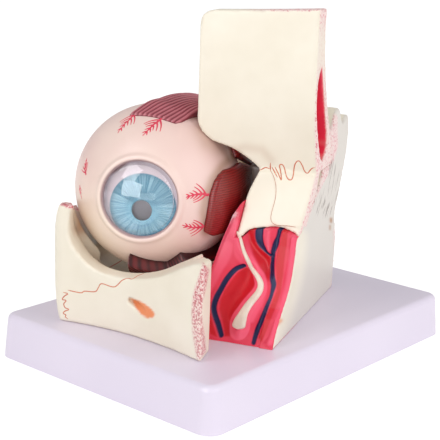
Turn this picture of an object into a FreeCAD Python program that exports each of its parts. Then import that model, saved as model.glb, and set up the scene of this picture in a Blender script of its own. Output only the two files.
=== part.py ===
"""Teaching model of a right human eye in its bony orbit, about 4.3 times life size.

A moulded base plate carries a block of skull: cheek bone and orbital floor, nasal cavity,
nasal bone, frontal bone and the nasal septum on the sagittal cut.  The eyeball lies in the orbit,
lifts out and opens on its equator: cornea, iris, lens, vitreous body, choroid and sclera
are nested shells.  Units are millimetres, +Z is up, -Y is the front of the base plate.

Two turned frames are used.  The head frame has X = medial, Y = backwards, Z = up, so a point
"a" millimetres in front of the base centre has Y = -a.  The optical frame has its origin in
the centre of the eyeball, Z along the gaze, X medial and Y up.
"""
import FreeCAD, Part
import math
import os

import Sketcher
from FreeCAD import Placement, Rotation, Vector

SIZES = [
    # base plate
    ("plate_width", 175.0, "top face, left to right"),
    ("plate_depth", 240.4, "top face, front to back"),
    ("plate_height", 28.0, "height of the moulded plate"),
    ("plate_draft", 2.6, "how much wider the foot is on each side"),
    ("plate_corner", 8.0, "corner radius of the top outline"),
    ("plate_edge", 4.0, "radius of the soft top edge"),
    ("plate_wall", 3.0, "wall of the hollow moulding"),
    ("rib_wall", 2.2, "stiffening ribs under the top"),
    ("rib_depth", 12.0, "ribs reach this far down from the top's underside"),
    ("boss_radius", 6.5, "screw bosses under the top"),
    ("screw_radius", 2.0, "screw shank"),
    ("screw_head", 3.8, "screw head radius"),
    ("screw_grip", 9.0, "thread length inside the bone casting"),
    ("head_recess", 4.0, "how deep the screw heads sit in the bosses"),
    # head frame
    ("head_turn", 20.48, "degrees, head frame against base plate"),
    ("fit_gap", 0.3, "gap between pieces that come apart"),
    ("glue_gap", 0.1, "gap between castings glued together"),
    # eyeball
    ("eye_x", -31.5, "centre of the eyeball on the base plate"),
    ("eye_y", -39.0, "centre of the eyeball on the base plate"),
    ("eye_height", 108.1, "centre of the eyeball above the table"),
    ("gaze_turn", 29.2, "degrees, gaze against the front of the base plate"),
    ("gaze_lift", 2.1, "degrees, gaze above the horizontal"),
    ("eye_radius", 52.8, "outside of the sclera"),
    ("sclera_wall", 3.2, "sclera shell"),
    ("choroid_wall", 1.6, "choroid and retina shell"),
    ("recess_radius", 23.0, "opening for the cornea in the sclera"),
    ("lip_radius", 2.2, "soft lip round that opening"),
    ("cornea_curve", 33.5, "radius of curvature of the cornea"),
    ("cornea_wall", 1.2, "clear cornea shell"),
    ("iris_plane", 41.2, "front face of the iris plate, from the eye's centre"),
    ("iris_wall", 1.6, "iris plate"),
    ("pupil_radius", 6.3, "hole in the iris plate"),
    ("pupil_drop", 8.0, "the pupil sits this far below the plate's centre"),
    ("ciliary_depth", 6.4, "ciliary ring behind the iris"),
    ("lens_radius", 20.2, "lens seen from the front"),
    ("lens_front_curve", 43.0, "radius of curvature, front of the lens"),
    ("lens_back_curve", 26.0, "radius of curvature, back of the lens"),
    ("lens_edge", 0.8, "thickness of the lens at its rim"),
    ("pin_radius", 0.9, "pins that locate the two halves"),
    ("pin_length", 9.0, "pins that locate the two halves"),
    # muscles and nerve
    ("muscle_wall", 4.0, "straight muscles"),
    ("floor_muscle_wall", 8.0, "inferior rectus, the piece the eyeball rests on"),
    ("nerve_radius", 6.5, "optic nerve"),
    ("tail_width", 8.0, "straight muscles, where they meet the tendinous ring"),
    ("tail_wall", 4.5, "straight muscles, where they meet the tendinous ring"),
    ("oblique_width", 12.0, "superior oblique beside the eyeball"),
    ("oblique_tail", 5.0, "superior oblique, width at the tendinous ring"),
    ("oblique_tail_wall", 3.5, "superior oblique, thickness at the tendinous ring"),
    ("ring_radius", 15.0, "tendinous ring at the apex of the orbit"),
    ("ring_depth", 8.0, "tendinous ring at the apex of the orbit"),
    ("apex_medial", 36.0, "apex from the eye's centre, towards the nose"),
    ("apex_back", 74.0, "apex from the eye's centre, backwards"),
    # bones
    ("orbit_gap", 0.5, "room under the eyeball's lowest muscle"),
    ("cut_medial", 52.0, "sagittal cut at the base plate, from the head frame's axis"),
    ("cut_flare", 10.0, "how much further medial the cut lies at the forehead"),
    ("septum_wall", 8.0, "nasal septum"),
    ("bone_height", 226.0, "top of the frontal bone above the table"),
    ("brow_depth", 32.0, "the brow is thicker in front of this distance from the head axis"),
    ("sinus_depth", 9.0, "depth of the frontal sinus in the cut face"),
    ("concha_proud", 2.4, "the bone strip of the inferior concha stands out of the mucosa"),
    ("concha_sunk", 3.0, "depth of its seat in the mucosa"),
    ("trough_radius", 7.0, "air passage on the lateral side of the bone strip"),
    ("side_trough_radius", 4.6, "air passages on its medial side"),
    ("foramen_radius", 3.0, "infraorbital foramen, a slanted pocket in the cheek"),
    ("nasal_lateral", 2.0, "lateral face of the nasal cavity casting"),
    ("nasal_back", 20.0, "rear face of the nasal cavity casting, in front of the head axis"),
    ("casting_wall", 7.0, "walls of the hollow cheek casting"),
]

doc = FreeCAD.newDocument("eye_model")
sheet = doc.addObject("Spreadsheet::Sheet", "Sizes")
for row, (alias, value, note) in enumerate(SIZES, start=1):
    sheet.set("A%d" % row, alias)
    sheet.set("B%d" % row, str(value))
    sheet.set("C%d" % row, note)
    sheet.setAlias("B%d" % row, alias)
doc.recompute()


def size(alias):
    """A driving dimension, read from the sheet."""
    return float(getattr(sheet, alias))


NODES = []
TURN = Rotation(Vector(0, 0, 1), size("head_turn"))
HEAD = Placement(Vector(0, 0, 0), TURN)
EYE = Vector(size("eye_x"), size("eye_y"), size("eye_height"))
GAZE_TURN = math.radians(size("gaze_turn"))
GAZE_LIFT = math.radians(size("gaze_lift"))
GAZE = Vector(math.sin(GAZE_TURN) * math.cos(GAZE_LIFT),
              -math.cos(GAZE_TURN) * math.cos(GAZE_LIFT),
              math.sin(GAZE_LIFT))
EYE_X = Vector(0, 0, 1).cross(GAZE).normalize()
EYE_Y = GAZE.cross(EYE_X)
OPTICAL = Placement(EYE, Rotation(EYE_X, EYE_Y, GAZE, "ZXY"))


def head(medial, front, height):
    """A point of the head frame's solids: X medial, Y backwards, Z up."""
    return Vector(medial, -front, height)


def keep(thing, label, placement=None):
    """Name a finished sub-part and put it in its place."""
    thing.Label = label
    if placement is not None:
        thing.Placement = placement
    NODES.append(thing)
    return thing


def largest(shape):
    """The main solid of a cut, without the slivers that it leaves."""
    return max(shape.Solids, key=lambda solid: solid.Volume)


FAR = 200.0  # beyond every piece, for the blocks that only cut


def block(low, high):
    """A cutting block between two corners."""
    return Part.makeBox(*(Vector(*high) - Vector(*low)), Vector(*low))


def solid_feature(label, shape, placement):
    """A sub-part whose solid is made with Part's own functions."""
    thing = doc.addObject("Part::Feature", label)
    thing.Shape = shape
    return keep(thing, label, placement)


def primitive(kind, name, **bindings):
    """A Part primitive with its sizes bound to the sheet."""
    thing = doc.addObject("Part::" + kind, name)
    for prop, text in bindings.items():
        thing.setExpression(prop, text)
    return thing


def shifted(thing, x=None, y=None, z=None):
    """Bind a primitive's place to the sheet."""
    for axis, text in (("x", x), ("y", y), ("z", z)):
        if text is not None:
            thing.setExpression("Placement.Base." + axis, text)
    return thing


def cut(name, base, tool):
    thing = doc.addObject("Part::Cut", name)
    thing.Base = base
    thing.Tool = tool
    return thing


def common(name, base, tool):
    thing = doc.addObject("Part::Common", name)
    thing.Base = base
    thing.Tool = tool
    return thing


def fused(name, things):
    thing = doc.addObject("Part::MultiFuse", name)
    thing.Shapes = things
    return thing


# ---------------------------------------------------------------- base plate
def rounded_outline(body, name, plane, half_width, half_depth, corner):
    """A sketch of a rounded rectangle about the origin; every size is an expression."""
    sketch = body.newObject("Sketcher::SketchObject", name)
    sketch.AttachmentSupport = [(plane, "")]
    sketch.MapMode = "FlatFace"
    a, b, r = 80.0, 110.0, 6.0
    corners = [(a - r, b - r, 0), (-a + r, b - r, 90), (-a + r, -b + r, 180), (a - r, -b + r, 270)]
    arcs = []
    for x, y, start in corners:
        circle = Part.Circle(Vector(x, y, 0), Vector(0, 0, 1), r)
        arcs.append(sketch.addGeometry(Part.ArcOfCircle(
            circle, math.radians(start), math.radians(start + 90)), False))
    lines = []
    ends = [((a - r, b), (-a + r, b)), ((-a, b - r), (-a, -b + r)),
            ((-a + r, -b), (a - r, -b)), ((a, -b + r), (a, b - r))]
    for start, end in ends:
        lines.append(sketch.addGeometry(Part.LineSegment(Vector(*start, 0), Vector(*end, 0)), False))
    for k in range(4):
        sketch.addConstraint(Sketcher.Constraint("Tangent", arcs[k], 2, lines[k], 1))
        sketch.addConstraint(Sketcher.Constraint("Tangent", lines[k], 2, arcs[(k + 1) % 4], 1))
    for k in (0, 2):
        sketch.addConstraint(Sketcher.Constraint("Horizontal", lines[k]))
        sketch.addConstraint(Sketcher.Constraint("Vertical", lines[k + 1]))
    for k in (1, 2, 3):
        sketch.addConstraint(Sketcher.Constraint("Equal", arcs[0], arcs[k]))
    origin = (-1, 1)
    radius = sketch.addConstraint(Sketcher.Constraint("Radius", arcs[0], r))
    right = sketch.addConstraint(Sketcher.Constraint("DistanceX", *origin, lines[3], 1, a))
    left = sketch.addConstraint(Sketcher.Constraint("DistanceX", lines[1], 1, *origin, a))
    back = sketch.addConstraint(Sketcher.Constraint("DistanceY", *origin, lines[0], 1, b))
    front = sketch.addConstraint(Sketcher.Constraint("DistanceY", lines[2], 1, *origin, b))
    sketch.setExpression("Constraints[%d]" % radius, corner)
    for index, text in ((right, half_width), (left, half_width), (back, half_depth), (front, half_depth)):
        sketch.setExpression("Constraints[%d]" % index, text)
    return sketch


SCREW_PLACES = [(-58.0, 62.0), (-46.0, -22.0), (20.0, -36.0), (24.0, 36.0)]


def make_base_plate():
    """Hollow moulding with draft, a soft top edge, ribs and screw bosses underneath."""
    body = doc.addObject("PartDesign::Body", "moulding")
    plane = [f for f in body.Origin.OriginFeatures if f.Role == "XY_Plane"][0]
    foot = rounded_outline(body, "foot_outline", plane,
                           "Sizes.plate_width / 2 + Sizes.plate_draft",
                           "Sizes.plate_depth / 2 + Sizes.plate_draft",
                           "Sizes.plate_corner + Sizes.plate_draft")
    block = body.newObject("PartDesign::Pad", "plate_block")
    block.Profile = foot
    block.setExpression("Length", "Sizes.plate_height")
    block.setExpression("TaperAngle", "-atan(Sizes.plate_draft / Sizes.plate_height)")
    doc.recompute()
    soft = body.newObject("PartDesign::Fillet", "soft_edge")
    height = size("plate_height")
    names = ["Edge%d" % (i + 1) for i, edge in enumerate(block.Shape.Edges)
             if edge.BoundBox.ZMin > height - 0.01]
    soft.Base = (block, names)
    soft.setExpression("Radius", "Sizes.plate_edge")
    doc.recompute()
    hollow_foot = rounded_outline(body, "hollow_foot", plane,
                                  "Sizes.plate_width / 2 + Sizes.plate_draft - Sizes.plate_wall",
                                  "Sizes.plate_depth / 2 + Sizes.plate_draft - Sizes.plate_wall",
                                  "Sizes.plate_corner + Sizes.plate_draft - Sizes.plate_wall")
    hollow = body.newObject("PartDesign::Pocket", "plate_hollow")
    hollow.Profile = hollow_foot
    hollow.Reversed = True
    hollow.setExpression("Length", "Sizes.plate_height - Sizes.plate_wall")
    hollow.setExpression("TaperAngle", "-atan(Sizes.plate_draft / Sizes.plate_height)")
    doc.recompute()
    return body


def make_base_ribs():
    """Crossed ribs and the screw bosses, fused under the top of the plate."""
    wall = size("rib_wall")
    under = size("plate_height") - size("plate_wall")
    depth = size("rib_depth")
    half_width = size("plate_width") / 2 - size("plate_wall") / 2
    half_depth = size("plate_depth") / 2 - size("plate_wall") / 2
    pieces = []
    for x in (-half_width / 2, 0.0, half_width / 2):
        pieces.append(Part.makeBox(wall, 2 * half_depth, depth + 1, Vector(x - wall / 2, -half_depth, under - depth)))
    for y in (-half_depth * 0.6, -half_depth * 0.2, half_depth * 0.2, half_depth * 0.6):
        pieces.append(Part.makeBox(2 * half_width, wall, depth + 1, Vector(-half_width, y - wall / 2, under - depth)))
    for medial, front in SCREW_PLACES:
        place = TURN.multVec(head(medial, front, under - depth))
        pieces.append(Part.makeCylinder(size("boss_radius"), depth + 1, place))
    return pieces[0].multiFuse(pieces[1:])


def screw_tools(radius, low, high):
    """Cylinders on the screw axes between two heights, in the base frame."""
    tools = []
    for medial, front in SCREW_PLACES:
        place = TURN.multVec(head(medial, front, low))
        tools.append(Part.makeCylinder(radius, high - low, place))
    return Part.makeCompound(tools)


SEAT = size("plate_height") - size("plate_wall") - size("rib_depth") + size("head_recess")


def finish_base_plate():
    """The moulding with its ribs, bosses and counterbored screw holes."""
    moulding = make_base_plate()
    ribs = doc.addObject("Part::Feature", "ribs_and_bosses")
    ribs.Shape = make_base_ribs()
    holes = doc.addObject("Part::Feature", "screw_holes")
    clearance = size("glue_gap")
    top = size("plate_height") + 1
    holes.Shape = screw_tools(size("screw_radius") + clearance, SEAT - 1, top).fuse(
        screw_tools(size("screw_head") + 2 * clearance, -1, SEAT))
    plate = cut("base_plate_drilled", fused("moulding_with_ribs", [moulding, ribs]), holes)
    return keep(plate, "base_plate")


def make_screws():
    """Pan-head screws from below, through the bosses into the bone castings."""
    low = SEAT - size("glue_gap")
    high = size("plate_height") + size("screw_grip")
    shank, crown = size("screw_radius"), size("screw_head")
    screws = []
    for medial, front in SCREW_PLACES:
        place = TURN.multVec(head(medial, front, 0))
        profile = Part.makePolygon([Vector(0, 0, low - 2.6), Vector(crown * 0.8, 0, low - 2.6),
                                    Vector(crown, 0, low - 1.6), Vector(crown, 0, low),
                                    Vector(shank, 0, low), Vector(shank, 0, high - 2.5),
                                    Vector(0.3, 0, high), Vector(0, 0, high), Vector(0, 0, low - 2.6)])
        screw = Part.Face(profile).revolve(Vector(0, 0, 0), Vector(0, 0, 1), 360)
        slot = Part.makeBox(2 * crown, 0.9, 1.2, Vector(-crown, -0.45, low - 2.7))
        screw = screw.cut(slot)
        screw.translate(place)
        screws.append(screw)
    return solid_feature("base_screws", Part.makeCompound(screws), Placement())


# ---------------------------------------------------------------- eyeball, optical frame
def half_shell(name, outer, wall, front):
    """A hemispherical shell, front or rear, half a fit gap short of the equator plane."""
    ball = primitive("Sphere", name + "_ball", Radius=outer)
    core = primitive("Sphere", name + "_core", Radius="%s - %s" % (outer, wall))
    shell = cut(name + "_shell", ball, core)
    side = primitive("Cylinder", name + "_side", Radius="%s + 20" % outer, Height="%s + 20" % outer)
    if front:
        shifted(side, z="Sizes.fit_gap / 2")
    else:
        shifted(side, z="-(%s + 20) - Sizes.fit_gap / 2" % outer)
    return common(name + "_half", shell, side)


def pin_points():
    """Four pins in the middle of the sclera's wall, between the muscles."""
    radius = size("eye_radius") - size("sclera_wall") / 2
    return [(radius * math.cos(math.radians(a)), radius * math.sin(math.radians(a)))
            for a in (42, 130, 218, 310)]


def pin_holes(radius, name):
    half = size("pin_length") / 2 + 0.3
    holes = doc.addObject("Part::Feature", name)
    holes.Shape = Part.makeCompound([Part.makeCylinder(radius, 2 * half, Vector(x, y, -half))
                                     for x, y in pin_points()])
    return holes


def make_sclera_front():
    half = half_shell("front_sclera", "Sizes.eye_radius", "Sizes.sclera_wall", True)
    lip = primitive("Torus", "recess_lip", Radius1="Sizes.recess_radius + Sizes.lip_radius",
                    Radius2="Sizes.lip_radius")
    shifted(lip, z="sqrt(Sizes.eye_radius ^ 2 - (Sizes.recess_radius + Sizes.lip_radius) ^ 2)"
                   " - Sizes.lip_radius * 0.55")
    bore = primitive("Cylinder", "recess_bore", Radius="Sizes.recess_radius", Height="Sizes.eye_radius")
    shifted(bore, z="Sizes.eye_radius / 2")
    drilled = cut("front_sclera_open", fused("front_sclera_lipped", [half, lip]), bore)
    return keep(cut("front_sclera_drilled", drilled, pin_holes(size("pin_radius"), "front_pin_holes")),
                "sclera_front", OPTICAL)


def make_sclera_rear():
    half = half_shell("rear_sclera", "Sizes.eye_radius", "Sizes.sclera_wall", False)
    canal = doc.addObject("Part::Feature", "nerve_canal")
    canal.Shape = Part.makeCylinder(size("nerve_radius") + size("glue_gap"), size("eye_radius") * 1.2,
                                    Vector(0, 0, 0), to_optical(APEX_AXIS))
    drilled = cut("rear_sclera_open", half, canal)
    holes = pin_holes(size("pin_radius") + size("glue_gap"), "rear_pin_holes")
    return keep(cut("rear_sclera_drilled", drilled, holes), "sclera_rear", OPTICAL)


def make_pins():
    half = size("pin_length") / 2
    pins = [Part.makeCylinder(size("pin_radius"), 2 * half, Vector(x, y, -half)) for x, y in pin_points()]
    return solid_feature("locating_pins", Part.makeCompound(pins), OPTICAL)


def make_cornea():
    """Clear dome on a short skirt that stands on the iris plate inside the recess."""
    seat = "(Sizes.recess_radius - Sizes.fit_gap)"
    ring_plane = "sqrt(Sizes.eye_radius ^ 2 - Sizes.recess_radius ^ 2)"
    centre = "%s - sqrt(Sizes.cornea_curve ^ 2 - %s ^ 2)" % (ring_plane, seat)
    ball = shifted(primitive("Sphere", "cornea_ball", Radius="Sizes.cornea_curve"), z=centre)
    core = shifted(primitive("Sphere", "cornea_core", Radius="Sizes.cornea_curve - Sizes.cornea_wall"), z=centre)
    window = primitive("Cylinder", "cornea_window", Radius=seat, Height="Sizes.eye_radius")
    shifted(window, z="Sizes.iris_plane + Sizes.glue_gap")
    dome = common("cornea_dome", cut("cornea_shell", ball, core), window)
    skirt = primitive("Cylinder", "cornea_skirt", Radius=seat,
                      Height="%s - Sizes.iris_plane - Sizes.glue_gap" % ring_plane)
    shifted(skirt, z="Sizes.iris_plane + Sizes.glue_gap")
    bore = primitive("Cylinder", "cornea_bore", Radius="%s - Sizes.cornea_wall" % seat,
                     Height="Sizes.eye_radius")
    shifted(bore, z="Sizes.eye_radius / 2")
    inside = common("cornea_inside", bore, primitive("Box", "cornea_limit", Length="200", Width="200",
                                                     Height="%s" % ring_plane))
    limit = doc.getObject("cornea_limit")
    shifted(limit, x="-100", y="-100", z="0")
    tube = cut("cornea_tube", skirt, inside)
    return keep(fused("cornea_whole", [dome, tube]), "cornea", OPTICAL)


def make_iris():
    """Flat plate with the pupil, seated on the ciliary ring under the sclera's shoulder."""
    back = "Sizes.iris_plane - Sizes.iris_wall"
    inner = "(Sizes.eye_radius - Sizes.sclera_wall - Sizes.fit_gap)"
    radius = "sqrt(%s ^ 2 - Sizes.iris_plane ^ 2) - Sizes.glue_gap" % inner
    plate = shifted(primitive("Cylinder", "iris_plate", Radius=radius, Height="Sizes.iris_wall"), z=back)
    pupil = shifted(primitive("Cylinder", "pupil", Radius="Sizes.pupil_radius", Height="Sizes.iris_wall + 2"),
                    y="-Sizes.pupil_drop", z=back + " - 1")
    return keep(cut("iris_ring", plate, pupil), "iris", OPTICAL)


def make_choroid_front():
    """Front half of the choroid with the ciliary ring that carries iris and lens."""
    outer = "(Sizes.eye_radius - Sizes.sclera_wall - Sizes.fit_gap)"
    half = half_shell("front_choroid", outer, "Sizes.choroid_wall", True)
    top = "Sizes.iris_plane - Sizes.iris_wall - Sizes.glue_gap"
    ball = primitive("Sphere", "ciliary_ball", Radius=outer)
    slab = primitive("Cylinder", "ciliary_slab", Radius=outer, Height="Sizes.ciliary_depth")
    shifted(slab, z=top + " - Sizes.ciliary_depth")
    body = fused("front_choroid_closed", [half, common("ciliary_disc", ball, slab)])
    bore = primitive("Cylinder", "ciliary_bore", Radius="Sizes.lens_radius + Sizes.fit_gap", Height=outer)
    opened = cut("front_choroid_bored", body, bore)
    cap = primitive("Cylinder", "choroid_cap", Radius=outer, Height=outer)
    shifted(cap, z=top)
    return keep(cut("front_choroid_open", opened, cap), "choroid_front", OPTICAL)


def make_retina_cup():
    outer = "(Sizes.eye_radius - Sizes.sclera_wall - Sizes.fit_gap)"
    half = half_shell("rear_choroid", outer, "Sizes.choroid_wall", False)
    return keep(half, "retina_cup", OPTICAL)


def lens_solid(grow=0.0):
    """Two caps of unequal curvature on a thin rim, grown by a clearance where it is a tool."""
    radius = size("lens_radius")
    front, back = size("lens_front_curve"), size("lens_back_curve")
    apex = size("iris_plane") - size("iris_wall") - size("fit_gap")
    rim = apex - front + math.sqrt(front ** 2 - radius ** 2) - size("lens_edge")
    front_ball = Part.makeSphere(front + grow, Vector(0, 0, apex - front))
    back_ball = Part.makeSphere(back + grow, Vector(0, 0, rim + math.sqrt(back ** 2 - radius ** 2)))
    rod = Part.makeCylinder(radius + grow, 2 * front, Vector(0, 0, apex - front))
    return front_ball.common(back_ball).common(rod)


def make_lens():
    return solid_feature("lens", lens_solid(), OPTICAL)


def make_vitreous():
    """Clear ball that fills the choroid, with a hollow for the back of the lens."""
    gap = size("fit_gap")
    radius = size("eye_radius") - size("sclera_wall") - size("choroid_wall") - 2 * gap
    front = size("iris_plane") - size("iris_wall") - size("glue_gap") - size("ciliary_depth") - gap
    ball = Part.makeSphere(radius)
    ball = ball.cut(block((-FAR, -FAR, front), (FAR, FAR, FAR)))
    return solid_feature("vitreous_body", ball.cut(lens_solid(gap)), OPTICAL)


# ---------------------------------------------------------------- muscles and nerve
def to_optical(direction):
    return OPTICAL.Rotation.inverted().multVec(direction)


APEX_OFFSET = TURN.multVec(Vector(size("apex_medial"), size("apex_back"), 0))
APEX_AXIS = Vector(APEX_OFFSET).normalize()
APEX_REACH = APEX_OFFSET.Length


def band_section(centre, outward, across, width, wall, curve):
    """A bowed rectangle: two arcs that follow the eyeball and two straight flanks."""
    sag = curve - math.sqrt(max(curve ** 2 - (width / 2) ** 2, 0.0))
    points = []
    for level in (-wall / 2, wall / 2):
        middle = centre + outward * level
        left = middle - across * (width / 2) - outward * sag
        right = middle + across * (width / 2) - outward * sag
        points.append((left, middle, right))
    (l0, m0, r0), (l1, m1, r1) = points
    return Part.Wire([Part.Arc(l0, m0, r0).toShape(), Part.makeLine(r0, r1),
                      Part.Arc(r1, m1, l1).toShape(), Part.makeLine(l1, l0)])


def muscle_solid(insertion, width, apex_width, wall, apex_wall, steps=5):
    """A muscle from its insertion, round the eyeball and straight back to the tendinous ring.

    The insertion is a direction in the optical frame.  The band follows the great circle
    through the insertion and the apex, leaves the ball on its tangent and narrows to the ring.
    """
    axis = to_optical(APEX_AXIS)
    start = Vector(*insertion).normalize()
    side = (start - axis * start.dot(axis)).normalize()
    across = axis.cross(side)
    middle = size("eye_radius") + size("glue_gap") + wall / 2
    ring_face = APEX_REACH - size("ring_depth") / 2 - size("glue_gap")
    ring_offset = (size("ring_radius") + size("nerve_radius")) / 2
    reach = math.hypot(ring_face, ring_offset)
    leave = math.acos(middle / reach) + math.atan2(ring_offset, ring_face)
    first = math.acos(start.dot(axis))
    wires = []
    for k in range(steps + 1):
        angle = first + (leave - first) * k / steps
        outward = axis * math.cos(angle) + side * math.sin(angle)
        wires.append(band_section(outward * middle, outward, across, width, wall, middle))
    tail_start = axis * (middle * math.cos(leave)) + side * (middle * math.sin(leave))
    tail_end = axis * ring_face + side * ring_offset
    outward = axis * math.cos(leave) + side * math.sin(leave)
    for share in (0.35, 0.7, 1.0):
        centre = tail_start + (tail_end - tail_start) * share
        narrow = width + (apex_width - width) * share
        thick = wall + (apex_wall - wall) * share
        lean = outward * (1 - share) + side * share
        lean.normalize()
        wires.append(band_section(centre, lean, across, narrow, thick, middle))
    solid = Part.makeLoft(wires, True, False)
    return solid.cut(Part.makeSphere(size("eye_radius") + size("glue_gap")))


def equator_side(front):
    """A big block on one side of the equator plane, half a fit gap away."""
    gap = size("fit_gap") / 2
    low, high = (gap, FAR) if front else (-FAR, -gap)
    return block((-FAR, -FAR, low), (FAR, FAR, high))


MUSCLES = {
    # name: direction of the front end, width, wall, and how far forward and to the side it is cut off
    "superior_rectus": ((-5.7, 41.9, 31.6), 31.0, "muscle_wall", 27.5, None),
    "medial_rectus": ((40.8, -3.6, 38.4), 41.0, "muscle_wall", None, None),
    "inferior_rectus": ((-5.0, -38.0, 39.0), 42.0, "floor_muscle_wall", 39.5, -12.5),
    "lateral_rectus": ((-55.0, -1.0, 5.0), 26.0, "muscle_wall", None, None),
}


def make_muscles():
    """The four straight muscles, split at the equator, and the slim oblique between two of them."""
    straight = []
    for name, (insertion, width, wall, front_end, side_end) in MUSCLES.items():
        whole = muscle_solid(insertion, width, size("tail_width"), size(wall), size("tail_wall"))
        if front_end:
            whole = whole.cut(block((-FAR, -FAR, front_end), (FAR, FAR, FAR)))
        if side_end:
            whole = whole.cut(block((-FAR, -FAR, 0), (side_end, FAR, FAR)))
        if straight:
            whole = whole.cut(straight)
        straight.append(whole)
        solid_feature(name + "_front", whole.common(equator_side(True)), OPTICAL)
        solid_feature(name + "_rear", whole.common(equator_side(False)), OPTICAL)
    oblique = muscle_solid((46.0, 27.0, -1.5), size("oblique_width"), size("oblique_tail"),
                           size("muscle_wall"), size("oblique_tail_wall"))
    oblique = largest(oblique.cut(straight).common(equator_side(False)))
    solid_feature("superior_oblique", oblique, OPTICAL)


def make_optic_nerve():
    inner = size("eye_radius") - size("sclera_wall")
    axis = to_optical(APEX_AXIS)
    end = APEX_REACH + size("ring_depth") / 2 + 4
    nerve = Part.makeCylinder(size("nerve_radius"), end, Vector(0, 0, 0), axis)
    return solid_feature("optic_nerve", nerve.cut(Part.makeSphere(inner)), OPTICAL)


def make_tendinous_ring():
    axis = to_optical(APEX_AXIS)
    start = axis * (APEX_REACH - size("ring_depth") / 2)
    ring = Part.makeCylinder(size("ring_radius"), size("ring_depth"), start, axis)
    bore = Part.makeCylinder(size("nerve_radius") + size("glue_gap"), size("ring_depth") + 2, start - axis, axis)
    edges = [e for e in ring.Edges if len(e.Vertexes) == 1]
    ring = ring.makeFillet(1.8, edges)
    return solid_feature("tendinous_ring", ring.cut(bore), OPTICAL)


# ---------------------------------------------------------------- bones, head frame
FLOOR = size("plate_height")
EYE_HEAD = TURN.inverted().multVec(EYE)
CAVITY = size("eye_radius") + size("glue_gap") + size("floor_muscle_wall") + size("orbit_gap")


CUT_PROFILE = [
    # height above the base plate, share of the flare
    (0, 0.0), (22, 0.1), (42, 0.2), (61, 0.33), (69, 0.5), (82, 0.7), (100, 0.92), (137, 1.0), (200, 1.0),
]


def medial_side(inset=0.0):
    """The solid on the lateral side of the sagittal cut, a sheet that flares towards the forehead."""
    points = [Vector(size("cut_medial") - inset + share * size("cut_flare"), -200, FLOOR + rise)
              for rise, share in CUT_PROFILE]
    top, bottom = points[-1], points[0]
    outline = Part.Wire([smooth_edge(points), Part.makeLine(top, Vector(-200, -200, top.z)),
                         Part.makeLine(Vector(-200, -200, top.z), Vector(-200, -200, bottom.z)),
                         Part.makeLine(Vector(-200, -200, bottom.z), bottom)])
    return Part.Face(outline).extrude(Vector(0, 400, 0))


def smooth_edge(points):
    curve = Part.BSplineCurve()
    curve.interpolate(points)
    return curve.toShape()


def outline_face(runs):
    """A face from runs of points: two points are a straight line, more are a smooth curve."""
    edges = []
    for points in runs:
        edges.append(Part.makeLine(*points) if len(points) == 2 else smooth_edge(points))
    return Part.Face(Part.Wire(edges))


def front_view(runs, front_from, front_to):
    """Extrude an outline of (medial, height) points from front to back."""
    runs = [[head(x, front_to, z) for x, z in run] for run in runs]
    return outline_face(runs).extrude(Vector(0, front_to - front_from, 0))


def side_view(runs, medial_from=-150.0, medial_to=150.0):
    """Extrude an outline of (front, height) points from lateral to medial."""
    runs = [[head(medial_from, y, z) for y, z in run] for run in runs]
    return outline_face(runs).extrude(Vector(medial_to - medial_from, 0, 0))


def side_outline(runs, medial):
    """A closed wire of (front, height) points at one medial distance, for lofting."""
    edges = []
    for run in runs:
        points = [head(medial, y, z) for y, z in run]
        edges.append(Part.makeLine(*points) if len(points) == 2 else smooth_edge(points))
    return Part.Wire(edges)


def plan_view(runs, low, high):
    """Extrude an outline of (medial, front) points upwards."""
    runs = [[head(x, y, low) for x, y in run] for run in runs]
    return outline_face(runs).extrude(Vector(0, 0, high - low))


def orbit_cavity():
    """The hollow that the eyeball, its muscles and the apex of the cone lie in."""
    ball = Part.makeSphere(CAVITY, EYE_HEAD)
    axis = TURN.inverted().multVec(APEX_AXIS)
    ring = size("ring_radius") + size("orbit_gap")
    reach = APEX_REACH - size("ring_depth") / 2
    half_angle = math.acos((CAVITY - ring) / reach)
    start = CAVITY * math.cos(half_angle)
    start_radius = CAVITY * math.sin(half_angle)
    cone = Part.makeCone(start_radius, ring / math.sin(half_angle), reach - start, EYE_HEAD + axis * start, axis)
    tail = Part.makeCylinder(ring / math.sin(half_angle), 60, EYE_HEAD + axis * reach, axis)
    return ball.fuse([cone, tail])


def bone_pilots():
    """Pilot holes for the base screws, in the head frame."""
    tools = []
    radius = size("screw_radius") + size("glue_gap")
    for medial, front in SCREW_PLACES:
        tools.append(Part.makeCylinder(radius, size("screw_grip") + 2, head(medial, front, FLOOR - 1)))
    return Part.makeCompound(tools)


NASION = 127.0


def orbit_roof():
    """Room behind the brow for the muscles on the upper side of the eyeball, also as it lifts."""
    ball = Part.makeSphere(size("eye_radius") + size("muscle_wall") + 4 * size("orbit_gap"), EYE_HEAD)
    return ball.common(block((-FAR, -size("brow_depth"), 0), (FAR, FAR, FAR)))


def forehead(height):
    """A height of the forehead's outlines, kept in step with the nasion and the top."""
    return NASION + (height - 127.0) * (size("bone_height") - NASION) / 99.0


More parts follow.
